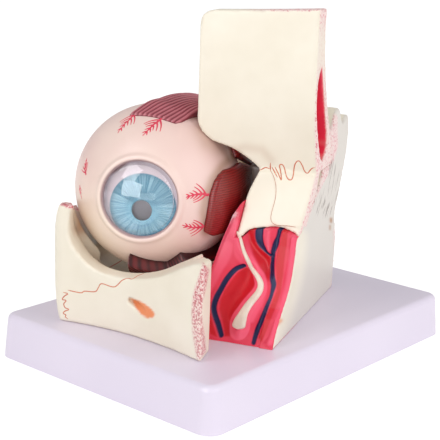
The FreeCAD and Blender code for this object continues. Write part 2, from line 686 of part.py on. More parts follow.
def make_frontal_bone():
    """Forehead bone with the brow, the sagittal cut and the frontal sinus."""
    top = size("bone_height")
    face = front_view([
        [(-13.2, top - 13), (-13.0, forehead(172)), (-13.3, forehead(157))],
        [(-13.3, forehead(157)), (-11, forehead(149.5)), (-3.2, forehead(142.9)), (6, forehead(140.4)),
         (15.1, forehead(136.1)), (22.5, forehead(130.8)), (26.5, NASION)],
        [(26.5, NASION), (90, NASION)],
        [(90, NASION), (90, top + 3)],
        [(90, top + 3), (50, top - 0.5), (20, top - 2.5), (-5, top - 4)],
        [(-5, top - 4), (-11.2, top - 7), (-13.2, top - 13)],
    ], -30, 60)
    lateral = side_outline([
        [(38.5, NASION), (38.4, forehead(140)), (39.0, forehead(165)), (39.0, forehead(195)), (38.5, top + 8)],
        [(38.5, top + 8), (27, top + 8)],
        [(27, top + 8), (23, forehead(205)), (18, forehead(185)), (14, forehead(168)), (11, forehead(150)),
         (10, NASION)],
        [(10, NASION), (38.5, NASION)],
    ], -20)
    medial = side_outline([
        [(27.0, NASION), (35.0, forehead(146)), (41.5, forehead(168)), (43.0, forehead(192)), (42.3, top + 8)],
        [(42.3, top + 8), (28, top + 8)],
        [(28, top + 8), (24, forehead(201)), (16.5, forehead(173)), (8.5, forehead(156)), (-2, forehead(140)),
         (-6, NASION)],
        [(-6, NASION), (27.0, NASION)],
    ], 66)
    bone = face.common(Part.makeLoft([lateral, medial], True, False)).common(medial_side())
    bone = bone.cut(Part.makeSphere(size("eye_radius") + size("orbit_gap"), EYE_HEAD))
    bone = bone.cut(orbit_roof())
    sinus_outline = [(31, 191), (37.3, 182), (38.6, 171), (36.2, 158.7), (30, 146), (23, 136.8), (17.5, 134.0),
                     (11.5, 139), (11.6, 148.4), (17, 159.5), (25.8, 178), (31, 191)]
    sinus = side_view([[(front, forehead(height)) for front, height in sinus_outline]], 20, 120)
    return bone.cut(sinus.cut(medial_side(size("sinus_depth"))))


def nasal_bridge_outline():
    """The nasal bone and the frontal process seen from the front, as a prism."""
    top = NASION - size("glue_gap")
    return front_view([
        [(26.5, top), (24.0, 121.5), (20.3, 111.7), (19.2, 104), (18.0, 95), (16.8, 86.5)],
        [(16.8, 86.5), (20.5, 86.5)],
        [(20.5, 86.5), (25, 91.5), (31, 93.0), (42, 94.5), (50, 93.0), (58, 88.5)],
        [(58, 88.5), (90, 88.5)],
        [(90, 88.5), (90, top)],
        [(90, top), (26.5, top)],
    ], 0, 120)


def nasal_bridge_slab(reach):
    """What lies between the inside of the nasal bone and its outside moved forward by a reach."""
    top = NASION - size("glue_gap")
    back = size("nasal_back")
    lateral = side_outline([
        [(38.4 + reach, top), (37.6 + reach, 118), (40.3 + reach, 104), (45.5 + reach, 84)],
        [(45.5 + reach, 84), (40.5, 84)],
        [(40.5, 84), (36, 96), (30, 105), (back, 110)],
        [(back, 110), (back, top)],
        [(back, top), (38.4 + reach, top)],
    ], 8)
    medial = side_outline([
        [(27.0 + reach, top), (30.5 + reach, 119), (35.2 + reach, 105), (44.5 + reach, 84)],
        [(44.5 + reach, 84), (39.5, 84)],
        [(39.5, 84), (33, 96), (26, 105), (back, 110)],
        [(back, 110), (back, top)],
        [(back, top), (27.0 + reach, top)],
    ], 66)
    return nasal_bridge_outline().common(Part.makeLoft([lateral, medial], True, False))


def make_nasal_bridge():
    """Nasal bone and frontal process: the thin ivory roof over the nasal cavity."""
    return nasal_bridge_slab(0).common(medial_side())


NASAL_SLOPE = [
    # the sloping face of the nasal mucosa as (front, height), top to bottom
    (43.0, 114), (43.5, 96), (45.5, 84), (50.5, 66), (56.5, 51), (64, 38), (71.5, FLOOR),
]

PASSAGES = [
    # the air passages, top to bottom: radius and route as (medial, front, height)
    ("trough_radius", [(26, 50, 71), (24.5, 54, 62), (22, 59, 50), (19, 65, 40), (18, 77, 26)]),
    ("side_trough_radius", [(33, 48, 79), (38, 51, 69), (41.5, 55, 59), (41, 59, 50), (37, 65, 39), (34, 75, 26)]),
    ("side_trough_radius", [(50, 47.5, 86), (49.5, 51, 71), (49, 57, 56), (47.5, 64, 41), (46, 76, 26)]),
]


def make_nasal_cavity():
    """Lateral wall of the nasal cavity: a sloping face with the conchae and air passages."""
    left = size("nasal_lateral")
    right = size("septum_wall") + size("glue_gap")
    back = size("nasal_back") + size("glue_gap")
    face = front_view([
        [(left, FLOOR), (left, 62)],
        [(left, 62), (4.5, 69.5), (8.6, 84.9), (13.9, 99.6), (18.2, 106.5), (23.4, 113.5)],
        [(23.4, 113.5), (90, 113.5)],
        [(90, 113.5), (90, FLOOR)],
        [(90, FLOOR), (left, FLOOR)],
    ], 0, 100)
    section = side_view([
        NASAL_SLOPE,
        [(71.5, FLOOR), (back, FLOOR)],
        [(back, FLOOR), (back, 114)],
        [(back, 114), (43.0, 114)],
    ])
    casting = face.common(section).common(medial_side(right))
    casting = casting.cut(nasal_bridge_slab(60))
    for radius, route in PASSAGES:
        casting = casting.cut(tube([head(*p) for p in route], size(radius)))
    return casting.cut(Part.makeSphere(CAVITY, EYE_HEAD))


def tube(points, radius):
    """A round channel along a smooth route, closed by a ball at its upper end."""
    spine = Part.Wire([smooth_edge(points)])
    first = (points[1] - points[0]).normalize()
    ring = Part.Wire([Part.makeCircle(radius, points[0], first)])
    pipe = spine.makePipeShell([ring], True, True)
    return pipe.fuse(Part.makeSphere(radius, points[0]))


def concha_strip(grow):
    """The curled bone strip, a flat bar that lies on the sloping face."""
    outline = front_view([
        [(20.2 + grow, 87.5 + grow), (17.4 - grow, 89.0 + grow)],
        [(17.4 - grow, 89.0 + grow), (22.8 - grow, 77), (30.8 - grow, 65.7), (34.6 - grow, 57.5),
         (31.0 - grow, 49.5), (25.0 - grow, 41.4), (22.1 - grow, 36.8), (23.6, 33.6 - grow),
         (28.2, 33.4 - grow), (32.2 + grow, 37.5), (36.6 + grow, 46.1), (40.2 + grow, 56.5),
         (36.5 + grow, 65.8), (28.1 + grow, 75.3), (20.2 + grow, 87.5 + grow)],
    ], 0, 100)
    ahead = [(front + size("concha_proud") + grow, height) for front, height in NASAL_SLOPE]
    behind = [(front - size("concha_sunk") - grow, height) for front, height in reversed(NASAL_SLOPE)]
    sheet_of_face = side_view([ahead, [ahead[-1], behind[0]], behind, [behind[-1], ahead[0]]], 0, 80)
    return outline.common(sheet_of_face)


def make_septum(frontal, bridge):
    """Sagittal wall on the midline with the crista galli at the top."""
    wall = side_view([
        [(72, FLOOR), (63, 43.5), (55.5, 50.5), (48.5, 57.5), (44.3, 66), (43.2, 76), (43, 88)],
        [(43, 88), (12, 120)],
        [(12, 120), (12, 150)],
        [(12, 150), (5, 150.5), (-1, 151.5), (-6, 158), (-11.5, 162), (-19, 157.5), (-26, 150.5), (-32, 152.5),
         (-37.5, 154), (-42.3, 146), (-43.6, 133), (-44, 116), (-46, 95), (-51.5, 80), (-57, 69), (-62, 44),
         (-64.7, FLOOR)],
        [(-64.7, FLOOR), (72, FLOOR)],
    ])
    wall = wall.common(medial_side()).cut(medial_side(size("septum_wall")))
    return largest(wall.cut(frontal).cut(bridge))


def make_medial_wall():
    """Inner wall of the orbit: lacrimal, ethmoid and sphenoid bone down to the base."""
    left = size("nasal_lateral")
    right = size("septum_wall") + size("glue_gap")
    front = size("nasal_back") - size("glue_gap")
    top = NASION - size("glue_gap")
    plan = plan_view([
        [(left, front), (90, front)],
        [(90, front), (90, -60)],
        [(90, -60), (-8, -62)],
        [(-8, -62), (-15, -57), (-15, -44), (left, -36)],
        [(left, -36), (left, front)],
    ], FLOOR, 160)
    section = side_view([
        [(front, FLOOR), (front, top)],
        [(front, top), (-6.2, top)],
        [(-6.2, top), (-6.2, 133)],
        [(-6.2, 133), (-20, 134), (-33, 131), (-41, 122), (-46, 104), (-54, 78), (-62, FLOOR)],
        [(-62, FLOOR), (front, FLOOR)],
    ])
    return plan.common(section).common(medial_side(right)).cut(orbit_cavity())


def foramen():
    """The slanted pocket of the infraorbital foramen, deepest at its lateral end."""
    radius = size("foramen_radius")
    mouth, deep = head(-21.5, 93.5, 44.5), head(-34.0, 83.0, 51.0)
    return Part.makeCone(radius * 0.55, radius, (deep - mouth).Length, mouth, deep - mouth).fuse(
        Part.makeSphere(radius, deep))


def make_maxilla():
    """Cheek bone, upper jaw and orbital floor: one casting, hollow from below."""
    left = size("nasal_lateral") - size("glue_gap")
    inner_back = -36.0
    base = plan_view([
        [(-92, 66), (-91.5, 74), (-88, 79), (-79, 80.5), (-60, 81.5), (-34.3, 86.3), (-3.4, 97.7), (20.5, 110)],
        [(20.5, 110), (18.5, 90.5)],
        [(18.5, 90.5), (9, 84), (left, 74)],
        [(left, 74), (left, inner_back)],
        [(left, inner_back), (-14, -46), (-30, -45), (-52, -33), (-72, -8), (-84, 25), (-92, 66)],
    ], FLOOR, 130)
    bulge = front_view([
        [(-85.5, FLOOR), (-88.5, 40), (-91.0, 58), (-91.5, 78), (-89.0, 94), (-85.5, 103.5)],
        [(-85.5, 103.5), (80, 103.5)],
        [(80, 103.5), (80, FLOOR)],
        [(80, FLOOR), (-85.5, FLOOR)],
    ], -80, 140)
    base = base.common(bulge)
    rim = front_view([
        [(-120, 20), (-120, 103)],
        [(-120, 103), (-76.5, 103)],
        [(-76.5, 103), (-78.5, 96), (-79.3, 87), (-76, 77.5), (-68.5, 70.2), (-58, 67.2), (-39.2, 67.2),
         (-24.5, 70.9), (-13.3, 75.4), (-2.3, 81.1), (8.8, 87.5), (16, 91), (26, 90)],
        [(26, 90), (40, 20)],
        [(40, 20), (-120, 20)],
    ], 59, 140)
    low_rim = side_view([
        [(59.5, 20), (59.5, 78)],
        [(59.5, 78), (52, 72), (40, 68), (10, 66), (-20, 64), (-60, 62)],
        [(-60, 62), (-60, 20)],
        [(-60, 20), (59.5, 20)],
    ])
    casting = base.common(rim.fuse(low_rim))
    casting = casting.cut(Part.makeSphere(CAVITY, EYE_HEAD))
    wall = size("casting_wall")
    hollow = plan_view([
        [(-78, 68), (-60, 68), (-34, 72), (-12, 78)],
        [(-12, 78), (left - wall, 66)],
        [(left - wall, 66), (left - wall, -28)],
        [(left - wall, -28), (-14, -36), (-30, -36), (-48, -25), (-63, -5), (-74, 25), (-78, 68)],
    ], FLOOR - 1, 58)
    bosses = [Part.makeCylinder(size("boss_radius"), 60, head(x, y, FLOOR - 2)) for x, y in SCREW_PLACES[:2]]
    hollow = hollow.cut(bosses).cut(Part.makeSphere(CAVITY + wall, EYE_HEAD))
    return casting.cut([hollow, foramen()])


def make_bones():
    frontal = make_frontal_bone()
    bridge = make_nasal_bridge()
    cavity = make_nasal_cavity().cut(concha_strip(size("glue_gap")))
    strip = concha_strip(0.0).cut(bridge)
    pilots = bone_pilots()
    solid_feature("frontal_bone", frontal, HEAD)
    solid_feature("nasal_bone", bridge, HEAD)
    solid_feature("nasal_cavity", cavity.cut(pilots), HEAD)
    solid_feature("inferior_concha", strip, HEAD)
    solid_feature("nasal_septum", make_septum(frontal, bridge), HEAD)
    wall = make_medial_wall()
    solid_feature("medial_orbit_wall", wall.cut(pilots), HEAD)
    solid_feature("maxilla", make_maxilla().cut([wall, pilots]), HEAD)


def check_and_export():
    """Stop on any failed object, then write one STEP file for each sub-part."""
    doc.recompute()
    for thing in doc.Objects:
        if "Invalid" in thing.State or "Error" in thing.State:
            raise RuntimeError("failed object: %s %s" % (thing.Name, thing.State))
    os.makedirs("parts", exist_ok=True)
    for thing in NODES:
        if thing.Shape.isNull() or not thing.Shape.isValid() or not thing.Shape.Solids:
            raise RuntimeError("bad shape: %s" % thing.Label)
        box = thing.Shape.BoundBox
        print("%-24s solids %d faces %3d volume %9.0f  x %7.1f %7.1f  y %7.1f %7.1f  z %6.1f %6.1f" % (
            thing.Label, len(thing.Shape.Solids), len(thing.Shape.Faces), thing.Shape.Volume,
            box.XMin, box.XMax, box.YMin, box.YMax, box.ZMin, box.ZMax))
        thing.Shape.exportStep("parts/%s.step" % thing.Label)


finish_base_plate()
make_screws()
make_sclera_front()
make_sclera_rear()
make_pins()
make_cornea()
make_iris()
make_choroid_front()
make_retina_cup()
make_lens()
make_vitreous()
make_muscles()
make_optic_nerve()
make_tendinous_ring()
make_bones()
check_and_export()
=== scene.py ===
"""Looks of an enlarged teaching model of a right human eye in its orbit.

Painted vinyl castings of bone and mucosa, an eyeball of nested painted shells under a clear
acrylic cornea, ribbed muscles, on a white moulded base plate.  Points are worked out in
millimetres and turned to metres where a mesh is made.  The head frame has its axes medial,
front and up, the optical frame has its origin in the eyeball, X medial, Y up and Z along the gaze.
"""
import math

import bmesh
import bpy
import numpy as np
from mathutils import Matrix, Vector
from mathutils.bvhtree import BVHTree


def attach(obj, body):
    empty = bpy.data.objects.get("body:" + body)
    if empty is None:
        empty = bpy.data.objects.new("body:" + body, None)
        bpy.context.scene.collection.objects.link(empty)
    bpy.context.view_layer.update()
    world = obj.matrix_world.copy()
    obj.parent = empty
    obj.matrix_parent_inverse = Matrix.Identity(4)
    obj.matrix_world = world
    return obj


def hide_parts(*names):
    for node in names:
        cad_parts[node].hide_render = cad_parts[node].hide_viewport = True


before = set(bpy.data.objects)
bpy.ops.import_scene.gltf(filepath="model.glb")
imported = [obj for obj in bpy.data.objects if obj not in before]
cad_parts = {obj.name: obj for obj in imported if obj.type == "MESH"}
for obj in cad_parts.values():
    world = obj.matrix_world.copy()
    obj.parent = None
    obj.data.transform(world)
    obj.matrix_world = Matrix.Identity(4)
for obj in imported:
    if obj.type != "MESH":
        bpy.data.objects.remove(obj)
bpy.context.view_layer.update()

MM = 0.001

# ---------------------------------------------------------------- frames and camera
HEAD_TURN = math.radians(20.48)
MEDIAL = np.array([math.cos(HEAD_TURN), math.sin(HEAD_TURN), 0.0])
FRONT = np.array([math.sin(HEAD_TURN), -math.cos(HEAD_TURN), 0.0])
UP = np.array([0.0, 0.0, 1.0])
HEAD = np.array([MEDIAL, FRONT, UP])

EYE = np.array([-31.5, -39.0, 108.1])
GAZE_TURN, GAZE_LIFT = math.radians(29.2), math.radians(2.1)
GAZE = np.array([math.sin(GAZE_TURN) * math.cos(GAZE_LIFT),
                 -math.cos(GAZE_TURN) * math.cos(GAZE_LIFT), math.sin(GAZE_LIFT)])


def unit(vector):
    vector = np.asarray(vector, float)
    return vector / np.linalg.norm(vector)


EYE_X = unit(np.cross(UP, GAZE))
EYE_Y = np.cross(GAZE, EYE_X)
OPTICAL = np.array([EYE_X, EYE_Y, GAZE])

CAMERA = np.array([475.6, -581.0, 281.1])
AZIMUTH, ELEVATION, ROLL = math.radians(40.0042), math.radians(14.6923), math.radians(2.0545)
FOCAL, SENSOR, PICTURE = 97.64, 36.0, 440.0
BACK = np.array([math.sin(AZIMUTH) * math.cos(ELEVATION),
                 -math.cos(AZIMUTH) * math.cos(ELEVATION), math.sin(ELEVATION)])
LEVEL = unit(np.cross(-BACK, UP))
RISE = np.cross(LEVEL, -BACK)
RIGHT = LEVEL * math.cos(ROLL) + RISE * math.sin(ROLL)
ABOVE = -LEVEL * math.sin(ROLL) + RISE * math.cos(ROLL)
ZOOM = FOCAL / SENSOR * PICTURE


def from_head(points):
    return np.atleast_2d(points) @ HEAD


def to_head(points):
    return np.atleast_2d(points) @ HEAD.T


def from_eye(points):
    return np.atleast_2d(points) @ OPTICAL + EYE


def sight(pixel):
    """The direction of sight through a point of the picture."""
    return unit(RIGHT * (pixel[0] - PICTURE / 2) / ZOOM + ABOVE * (PICTURE / 2 - pixel[1]) / ZOOM - BACK)


def seen_at(points):
    """Where points of the model lie in the picture."""
    reach = np.atleast_2d(points) - CAMERA
    depth = -(reach @ BACK)
    return np.stack([PICTURE / 2 + ZOOM * (reach @ RIGHT) / depth,
                     PICTURE / 2 - ZOOM * (reach @ ABOVE) / depth], axis=1)


def placed(name, data):
    """A new object of the scene that holds such data."""
    made = bpy.data.objects.new(name, data)
    bpy.context.scene.collection.objects.link(made)
    return made


def add_camera():
    data = bpy.data.cameras.new("camera")
    data.lens, data.sensor_width = FOCAL, SENSOR
    camera = placed("camera", data)
    turn = Matrix([list(RIGHT), list(ABOVE), list(BACK)]).transposed().to_4x4()
    camera.matrix_world = Matrix.Translation(Vector(CAMERA * MM)) @ turn
    bpy.context.scene.camera = camera


add_camera()


EYE_IN_HEAD = to_head(EYE)[0]


# ---------------------------------------------------------------- numbers and paths
def ramp(values, low, high):
    """0 below low, 1 above high, smooth between."""
    share = np.clip((np.asarray(values, float) - low) / (high - low), 0, 1)
    return share * share * (3 - 2 * share)


def closed(path):
    return np.vstack([path, path[:1]]).astype(float)


def path_distance(points, path, halves=None):
    """How far points are from a path, or outside it where it has half widths."""
    path = np.asarray(path, float)
    halves = np.zeros(len(path)) if halves is None else halves
    nearest = np.full(len(points), np.inf)
    for start, end, half, last in zip(path[:-1], path[1:], halves[:-1], halves[1:]):
        run = end - start
        share = np.clip(((points - start) @ run) / max(run @ run, 1e-12), 0, 1)
        away = np.linalg.norm(points - start - share[:, None] * run, axis=1)
        nearest = np.minimum(nearest, away - half - share * (last - half))
    return nearest


def inside(points, outline):
    x, y = points[:, 0], points[:, 1]
    odd = np.zeros(len(points), bool)
    ring = closed(outline)
    for (x0, y0), (x1, y1) in zip(ring[:-1], ring[1:]):
        crosses = (y0 > y) != (y1 > y)
        odd ^= crosses & (x < (x1 - x0) * (y - y0) / ((y1 - y0) or 1e-9) + x0)
    return odd


def region(points, outline, soft=1.0, grow=0.0):
    """1 inside an outline, 0 outside, fading over a soft edge."""
    distance = path_distance(points, closed(outline))
    return ramp(np.where(inside(points, outline), distance, -distance) + grow, -soft / 2, soft / 2)


def spray(points, path, width):
    """1 on a path, fading away from it like sprayed paint."""
    return np.exp(-(path_distance(points, path) / width) ** 2)


def swath(points, stations):
    """How far points lie outside a band; its stations hold the middle and the half width."""
    stations = np.asarray(stations, float)
    return path_distance(points, stations[:, :2], stations[:, 2])


def through(points, count):
    """A smooth path of so many points through a few given ones, evenly spaced."""
    given = np.asarray(points, float)
    padded = np.vstack([2 * given[0] - given[1], given, 2 * given[-1] - given[-2]])
    fine = []
    for a, b, c, d in zip(padded[:-3], padded[1:-2], padded[2:-1], padded[3:]):
        t = np.linspace(0, 1, 24, endpoint=False)[:, None]
        fine.append(0.5 * (2 * b + (c - a) * t + (2 * a - 5 * b + 4 * c - d) * t ** 2
                           + (3 * b - a - 3 * c + d) * t ** 3))
    fine = np.vstack(fine + [given[-1:]])
    length = np.concatenate([[0], np.cumsum(np.linalg.norm(np.diff(fine, axis=0), axis=1))])
    even = np.linspace(0, length[-1], count)
    return np.stack([np.interp(even, length, fine[:, k]) for k in range(fine.shape[1])], axis=1)


# ---------------------------------------------------------------- meshes
SHARP_FROM = math.radians(50)
WELD = 1e-6
STROKE_SIDES = 6


def raw_mesh(points, faces, marks=None, name="raw"):
    """A mesh from points in millimetres; marks are values on its points for the paint."""
    mesh = bpy.data.meshes.new(name)
    mesh.from_pydata((np.asarray(points) * MM).tolist(), [], [list(face) for face in faces])
    for mark, values in (marks or {}).items():
        mesh.attributes.new(mark, "FLOAT", "POINT").data.foreach_set("value", np.asarray(values, np.float32))
    return mesh


def piece(name, points, faces, material, body, replaces=(), slot=None, marks=None):
    """A finished piece from points in millimetres."""
    return settle(raw_mesh(points, faces, marks, name), name, material, body, replaces)


def settle(mesh, name, material, body, replaces=()):
    """Faces outwards, smooth shading, material and body for a mesh that is in its place."""
    shape = bmesh.new()
    shape.from_mesh(mesh)
    bmesh.ops.remove_doubles(shape, verts=shape.verts, dist=WELD)
    loose = [edge for edge in shape.edges if not edge.link_faces]
    bmesh.ops.delete(shape, geom=loose, context="EDGES")
    bmesh.ops.recalc_face_normals(shape, faces=shape.faces)
    shape.to_mesh(mesh)
    shape.free()
    mesh.shade_smooth()
    mesh.set_sharp_from_angle(angle=SHARP_FROM)
    mesh.materials.clear()
    mesh.materials.append(material)
    made = placed(name, mesh)
    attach(made, body)
    if replaces:
        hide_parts(*replaces)
    return made


def grid_faces(rows, columns, wrap=False):
    """Quads of a grid of points that is stored row by row."""
    faces = []
    for r in range(rows - 1):
        for c in range(columns if wrap else columns - 1):
            d = (c + 1) % columns
            faces.append((r * columns + c, r * columns + d, (r + 1) * columns + d, (r + 1) * columns + c))
    return faces


def tube_faces(rings, columns):
    """Faces of a closed tube whose points are stored ring by ring."""
    last = (rings - 1) * columns
    return grid_faces(rings, columns, wrap=True) + [tuple(range(columns)), tuple(range(last, last + columns))]


def turned(profile, segments=256):
    """Points and faces of a closed profile of (radius, depth) turned about the Z axis."""
    profile = np.asarray(profile, float)
    angles = np.linspace(0, 2 * math.pi, segments, endpoint=False)
    points = np.stack([np.outer(np.cos(angles), profile[:, 0]), np.outer(np.sin(angles), profile[:, 0]),
                       np.tile(profile[:, 1], (segments, 1))], axis=2).reshape(-1, 3)
    count = len(profile)
    faces = []
    for s in range(segments):
        t = (s + 1) % segments
        for k in range(count):
            n = (k + 1) % count
            faces.append((s * count + k, t * count + k, t * count + n, s * count + n))
    return points, faces


def arc(radius, depth, start, end, count=60):
    """Points of a circle of the profile: its centre on the axis, angles in degrees from the axis."""
    angles = np.radians(np.linspace(start, end, count))
    return [(radius * math.sin(a), depth + radius * math.cos(a)) for a in angles]


def softened(castings, voxel, rounds, *more):
    """CAD castings and more meshes as one even mesh with edges as soft as moulded ones: points and faces."""
    shape = bmesh.new()
    for mesh in [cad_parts[casting].data for casting in castings] + list(more):
        shape.from_mesh(mesh)
    bmesh.ops.remove_doubles(shape, verts=shape.verts, dist=WELD)
    joined = bpy.data.meshes.new("casting")
    shape.to_mesh(joined)
    shape.free()
    copy = placed("casting", joined)
    remesh = copy.modifiers.new("even", "REMESH")
    remesh.mode, remesh.voxel_size = "VOXEL", voxel * MM
    soft = copy.modifiers.new("soft", "SMOOTH")
    soft.factor, soft.iterations = 0.5, rounds
    result = bpy.data.meshes.new_from_object(copy.evaluated_get(bpy.context.evaluated_depsgraph_get()))
    bpy.data.objects.remove(copy)
    points = np.empty(len(result.vertices) * 3)
    result.vertices.foreach_get("co", points)
    faces = [tuple(polygon.vertices) for polygon in result.polygons]
    return points.reshape(-1, 3) / MM, faces


def normals_of(points, faces):
    corners = np.array([face[:4] if len(face) > 3 else (*face, face[0]) for face in faces])
    cross = np.cross(points[corners[:, 2]] - points[corners[:, 0]], points[corners[:, 3]] - points[corners[:, 1]])
    total = np.zeros_like(points)
    for k in range(4):
        np.add.at(total, corners[:, k], cross)
    return total / np.maximum(np.linalg.norm(total, axis=1), 1e-9)[:, None]


def surface_of(points, faces):
    return BVHTree.FromPolygons(points.tolist(), faces)


def landed(pixels, surface):
    """Where the lines of sight through picture points meet a surface, and its normals there."""
    places, normals = [], []
    for pixel in pixels:
        place, normal, _, _ = surface.ray_cast(Vector(CAMERA), Vector(sight(pixel)))
        if place is not None:
            places.append(np.array(place))
            normals.append(np.array(normal if normal.dot(Vector(CAMERA) - place) > 0 else -normal))
    return np.array(places), np.array(normals)


def strokes(surface, paths, half_width, proud):
    """Fine strokes of paint on a surface along picture points, as flat closed ribbons."""
    points, faces = [], []
    for path in paths:
        length = np.linalg.norm(np.diff(np.asarray(path, float), axis=0), axis=1).sum()
        places, normals = landed(through(path, max(4, int(length))), surface)
        if len(places) < 3:
            continue
        along = np.gradient(places, axis=0)
        along /= np.maximum(np.linalg.norm(along, axis=1), 1e-9)[:, None]
        smooth = normals.copy()
        for k in range(len(normals)):
            smooth[k] = unit(normals[max(0, k - 2):k + 3].mean(axis=0))
        across = np.cross(smooth, along)
        across /= np.maximum(np.linalg.norm(across, axis=1), 1e-9)[:, None]
        ends = np.minimum(np.arange(len(places)), np.arange(len(places))[::-1])
        width = half_width * (0.45 + 0.55 * ramp(ends, 0, 3))
        start = len(points)
        for place, side, out, half in zip(places, across, smooth, width):
            for turn in range(STROKE_SIDES):
                angle = turn * 2 * math.pi / STROKE_SIDES
                points.append(place + side * (half * math.cos(angle)) + out * (proud * math.sin(angle)))
        faces += [tuple(start + k for k in face) for face in tube_faces(len(places), STROKE_SIDES)]
    return np.array(points), faces


def painted_lines(name, surface, paths, half_width, proud, paint):
    piece(name, *strokes(surface, paths, half_width, proud), paint, "stand", slot="bone_paint")


# ---------------------------------------------------------------- materials
def linear(code):
    """An sRGB hex colour as a linear one."""
    channels = [int(code[k:k + 2], 16) / 255 for k in (1, 3, 5)]
    return tuple(c / 12.92 if c <= 0.04045 else ((c + 0.055) / 1.055) ** 2.4 for c in channels) + (1.0,)


def node(tree, kind, links=None, **settings):
    """Add a node; links holds values, sockets, or nodes that stand for their first output in use."""
    made = tree.nodes.new(kind)
    for name, value in settings.items():
        setattr(made, name, value)
    for key, value in (links or {}).items():
        if isinstance(value, bpy.types.Node):
            value = next(socket for socket in value.outputs if socket.enabled)
        if isinstance(value, bpy.types.NodeSocket):
            tree.links.new(value, made.inputs[key])
        else:
            made.inputs[key].default_value = value
    return made


def new_material(name):
    material = bpy.data.materials.new(name)
    material.use_nodes = True
    material.node_tree.nodes.clear()
    return material, material.node_tree


def mottled(name, scale, detail, low=0.35, high=0.65):
    """A new material with its place on the object and a soft cloud that varies its tone."""
    material, tree = new_material(name)
    place = node(tree, "ShaderNodeTexCoord").outputs["Object"]
    cloud = node(tree, "ShaderNodeTexNoise", {"Vector": place, "Scale": scale, "Detail": detail})
    tone = node(tree, "ShaderNodeMapRange", {0: cloud, 1: low, 2: high})
    return material, tree, place, cloud, tone


def layered(tree, colour, coats):
    """Coats laid over a colour; each has its share, which may be a mark on the mesh, and its colour."""
    for share, coat in coats:
        if isinstance(share, str):
            share = node(tree, "ShaderNodeAttribute", attribute_name=share).outputs["Fac"]
        coat = linear(coat) if isinstance(coat, str) else coat
        colour = node(tree, "ShaderNodeMix", {0: share, 6: colour, 7: coat}, data_type="RGBA")
    return colour


def coated(tree, colour, gloss, relief=None):
    """Closes a material with its gloss and, where given, a relief of height, strength and depth in metres."""
    sockets = {"Base Color": colour, **gloss}
    if relief:
        sockets["Normal"] = node(tree, "ShaderNodeBump", dict(zip(("Height", "Strength", "Distance"), relief)))
    shader = node(tree, "ShaderNodeBsdfPrincipled", sockets)
    node(tree, "ShaderNodeOutputMaterial", {0: shader})


def painted_casting(name, cut, fleck, grain, sparse):
    """Hand-painted vinyl casting: a satin coat with soft mould relief.  Marks on the mesh give
    the sprayed red and grey places, brown stain spots and brown painted shade under the brow and
    in the socket, dark socket paint deepened by painted shade, and the sponge of cut bone, whose
    red flecks are between one and two millimetres apart.
    """
    material, tree, place, cloud, tone = mottled(name, 28.0, 3.0)
    cut_mark = node(tree, "ShaderNodeAttribute", attribute_name="cut").outputs["Fac"]
    # sponge of cut bone: pale pores between pink walls, with darker red flecks
    pores = node(tree, "ShaderNodeTexVoronoi", {"Vector": place, "Scale": 620.0, "Randomness": 1.0})
    wall = node(tree, "ShaderNodeMapRange", {0: pores, 1: 0.15, 2: 0.55})
    patch = node(tree, "ShaderNodeTexNoise", {"Vector": place, "Scale": grain, "Detail": 2.0})
    flecks = node(tree, "ShaderNodeMapRange", {0: patch, 1: sparse, 2: sparse + 0.07})
    sponge = layered(tree, linear(cut), [(wall, "#F7DAD6"), (flecks, fleck)])
    worn = node(tree, "ShaderNodeMath", {0: cut_mark, 1: tone}, operation="MULTIPLY")
    share = node(tree, "ShaderNodeMix", {0: 0.35, 2: cut_mark, 3: worn}, data_type="FLOAT")
    # thin dashes rubbed up and down into the septum, peaks of a noise whose cells are 2 mm by 38 mm
    streak = node(tree, "ShaderNodeMapping", {"Vector": place, "Scale": (480.0, 480.0, 26.0)})
    dash = node(tree, "ShaderNodeTexNoise", {"Vector": streak, "Scale": 1.0, "Detail": 1.0})
    dark = node(tree, "ShaderNodeMapRange", {0: dash, 1: 0.58, 2: 0.66})
    dash_mark = node(tree, "ShaderNodeAttribute", attribute_name="dash").outputs["Fac"]
    rubbed = node(tree, "ShaderNodeMath", {0: dark, 1: dash_mark}, operation="MULTIPLY")
    # the brown is real stain spots on the septum and painted shade under the brow and in the socket
    colour = layered(tree, linear("#F7EFDE"), [
        # the near-black is dark socket paint deepened by painted shade
        (tone, "#F0E7D4"), ("grey", "#DCD5CE"), ("stain_and_shade", "#B07E54"), ("socket", "#35191A"), (share, sponge),
        ("red", layered(tree, linear("#EC3654"), [(tone, "#D63452")])), (rubbed, "#9A8A80"), ("orange", "#F0905C")])
    relief = node(tree, "ShaderNodeMath", {0: pores, 1: cut_mark}, operation="MULTIPLY")
    relief = node(tree, "ShaderNodeMath", {0: relief, 1: cloud}, operation="ADD")
    coated(tree, colour, {"Roughness": 0.42, "IOR": 1.5}, (relief, 0.35, 0.0006))
    return material


def mucosa_gloss():
    """Glossy red lacquer on vinyl: pale pink on the ridges as painted light, deep red in the hollows as painted shade,
    navy air passages.
    """
    material, tree, place, cloud, tone = mottled("glossy_mucosa_lacquer", 90.0, 4.0)
    pores = node(tree, "ShaderNodeTexVoronoi", {"Vector": place, "Scale": 700.0})
    spongy = node(tree, "ShaderNodeMapRange", {0: pores, 1: 0.2, 2: 0.6})
    sponge = layered(tree, linear("#E07890"), [(spongy, "#F8D8DC")])
    # pale is painted light on the ridges, deep red is painted shade in the hollows
    colour = layered(tree, linear("#E43450"), [
        (tone, "#E83E5A"), ("pale", "#F75C7A"), ("deep", "#D01024"), ("navy", "#0E174A"), ("cut", sponge)])
    gloss = {"Roughness": 0.46, "IOR": 1.4, "Coat Weight": 0.05, "Coat Roughness": 0.12}
    coated(tree, colour, gloss, (cloud, 0.25, 0.0008))
    return material


